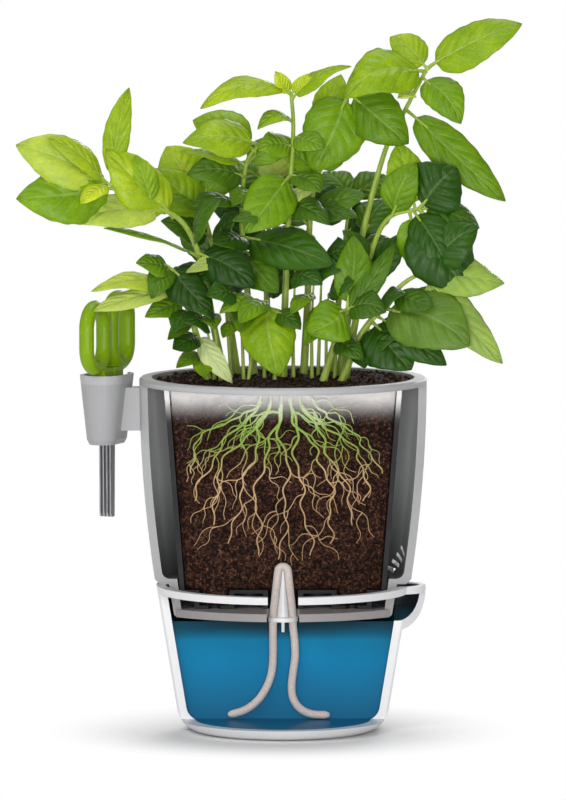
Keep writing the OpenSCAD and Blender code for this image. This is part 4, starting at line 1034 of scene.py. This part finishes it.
SCISSORS_TURN, PIVOT_X = math.radians(22), -85.76
LOOP_FOOT_Z, LOOP_BLEND, PIVOT_PLAY = 175.5, 5.0, 0.15
HANDLE_VOXEL, HANDLE_SOFT_STEPS = 0.45, 3

# Handles as (side, body, how much fuller the finger loop is than in the CAD)
HANDLES = [("front", "scissors", 0.06), ("back", "scissors_back", 0.22)]


def thicken(piece, share):
    """Fuller finger loops: each point above the sleeve moves out along the pivot's axis."""
    axis = Vector((-math.cos(SCISSORS_TURN), math.sin(SCISSORS_TURN), 0))
    pivot = Vector((PIVOT_X * MM, 0, 0))
    for vertex in piece.data.vertices:
        rise = min(1, max(0, (vertex.co.z / MM - LOOP_FOOT_Z) / LOOP_BLEND))
        vertex.co += axis * ((vertex.co - pivot).dot(axis) * share * rise)


def draw_in(piece):
    """Bakes the softened form and draws it in around the pivot, so that the two halves turn freely."""
    graph = bpy.context.evaluated_depsgraph_get()
    mesh = bpy.data.meshes.new_from_object(piece.evaluated_get(graph))
    piece.modifiers.clear()
    piece.data = mesh
    normals = [vertex.normal.copy() for vertex in mesh.vertices]
    for vertex, normal in zip(mesh.vertices, normals):
        if vertex.co.z < LOOP_FOOT_Z * MM:
            vertex.co -= normal * (PIVOT_PLAY * MM)


def build_handles(look):
    for side, body, share in HANDLES:
        piece = copy_of(f"grip_{side}", f"handle_{side}", look, body)
        thicken(piece, share)
        remesh(piece, HANDLE_VOXEL)
        soft = piece.modifiers.new("soft", "SMOOTH")
        soft.factor, soft.iterations = 0.5, HANDLE_SOFT_STEPS
        draw_in(piece)


EDGE_WIDTH, EDGE_ANGLE = 0.5, math.radians(50)


def soften(*names):
    """Small rounded edges on moulded shells."""
    for name in names:
        edge = NODES[name].modifiers.new("edge", "BEVEL")
        edge.width = EDGE_WIDTH * MM
        edge.segments = 2
        edge.limit_method = "ANGLE"
        edge.angle_limit = EDGE_ANGLE
        edge.use_clamp_overlap = True


# Floor in metres, and the radii in millimetres where its shadow starts to fade and is gone
FLOOR_HALF, FLOOR_Z = 40.0, -0.0002
SHADOW_IN, SHADOW_OUT = 46, 120


def build_floor():
    look = Look("floor", Base_Color=(0.9, 0.9, 0.9, 1), Roughness=0.8)
    path = look.add("ShaderNodeLightPath")
    mirrored = look.larger(path.outputs["Is Glossy Ray"], path.outputs["Is Transmission Ray"])
    seen = look.larger(path.outputs["Is Camera Ray"], mirrored)
    white = look.add("ShaderNodeEmission")
    mix = look.add("ShaderNodeMixShader")
    look.put(mix.inputs[0], look.times(seen, look.step(look.radius(), SHADOW_IN, SHADOW_OUT)))
    look.tree.links.new(look.shader.outputs[0], mix.inputs[1])
    look.tree.links.new(white.outputs[0], mix.inputs[2])
    look.tree.links.new(mix.outputs[0], look.tree.nodes["Material Output"].inputs[0])
    mesh = bpy.data.meshes.new("floor")
    h = FLOOR_HALF
    mesh.from_pydata([(-h, -h, 0), (h, -h, 0), (h, h, 0), (-h, h, 0)], [], [(0, 1, 2, 3)])
    mesh.materials.append(look.material)
    floor = bpy.data.objects.new("floor", mesh)
    bpy.context.scene.collection.objects.link(floor)
    floor.location.z = FLOOR_Z


# Lights as (name, place, aim, size, power), in metres and watts
LIGHTS = [
    ("key", (-0.7, -0.9, 1.1), (0, 0, 0.16), 0.7, 6),
    ("front_left", (-0.3, -2.1, 0.25), (0, 0, 0.14), 0.6, 12.5),
    ("front_right", (0.3, -2.1, 0.25), (0, 0, 0.14), 0.6, 12.5),
    ("top", (0.1, 0.3, 1.4), (0, 0, 0.2), 0.8, 6),
    ("back", (0.5, 2.0, 0.9), (0, 0, 0.2), 0.9, 14),
]
WORLD_LIGHT = 0.28


def area_light(name, place, aim, size, power):
    data = bpy.data.lights.new(name, "AREA")
    data.shape, data.size, data.energy = "DISK", size, power
    lamp = bpy.data.objects.new(name, data)
    bpy.context.scene.collection.objects.link(lamp)
    lamp.location = place
    lamp.rotation_euler = (Vector(aim) - lamp.location).to_track_quat("-Z", "Y").to_euler()


def build_light():
    world = bpy.data.worlds.new("world")
    bpy.context.scene.world = world
    world.use_nodes = True
    nodes, links = world.node_tree.nodes, world.node_tree.links
    ambient = nodes["Background"]
    ambient.inputs[1].default_value = WORLD_LIGHT
    ambient.inputs[0].default_value = (1, 1, 1, 1)
    white = nodes.new("ShaderNodeBackground")
    path = nodes.new("ShaderNodeLightPath")
    mix = nodes.new("ShaderNodeMixShader")
    links.new(path.outputs["Is Camera Ray"], mix.inputs[0])
    links.new(ambient.outputs[0], mix.inputs[1])
    links.new(white.outputs[0], mix.inputs[2])
    links.new(mix.outputs[0], nodes["World Output"].inputs[0])
    for light in LIGHTS:
        area_light(*light)


BLADES = [f"{side}_blade_{i}" for side in ("front", "back") for i in (1, 2, 3, 4)]

place_camera()
build_wick(wick_felt())
dress(white_plastic(), "reservoir", "wick_spike")
dress(grey_plastic(), "outer_pot", "scissor_sleeve")
dress(black_plastic(), "nursery_pot")
dress(water(), "water")
dress(blade_steel(), *BLADES, "pivot_screw", "pivot_nut", "blade_spacers")
soften("reservoir", "outer_pot", "nursery_pot")
build_soil(soil())
build_roots(root_skin())
build_plant(leaf_skin(), stem_skin())
build_handles(green_plastic())
build_floor()
build_light()
bpy.context.scene.view_settings.view_transform = "Standard"
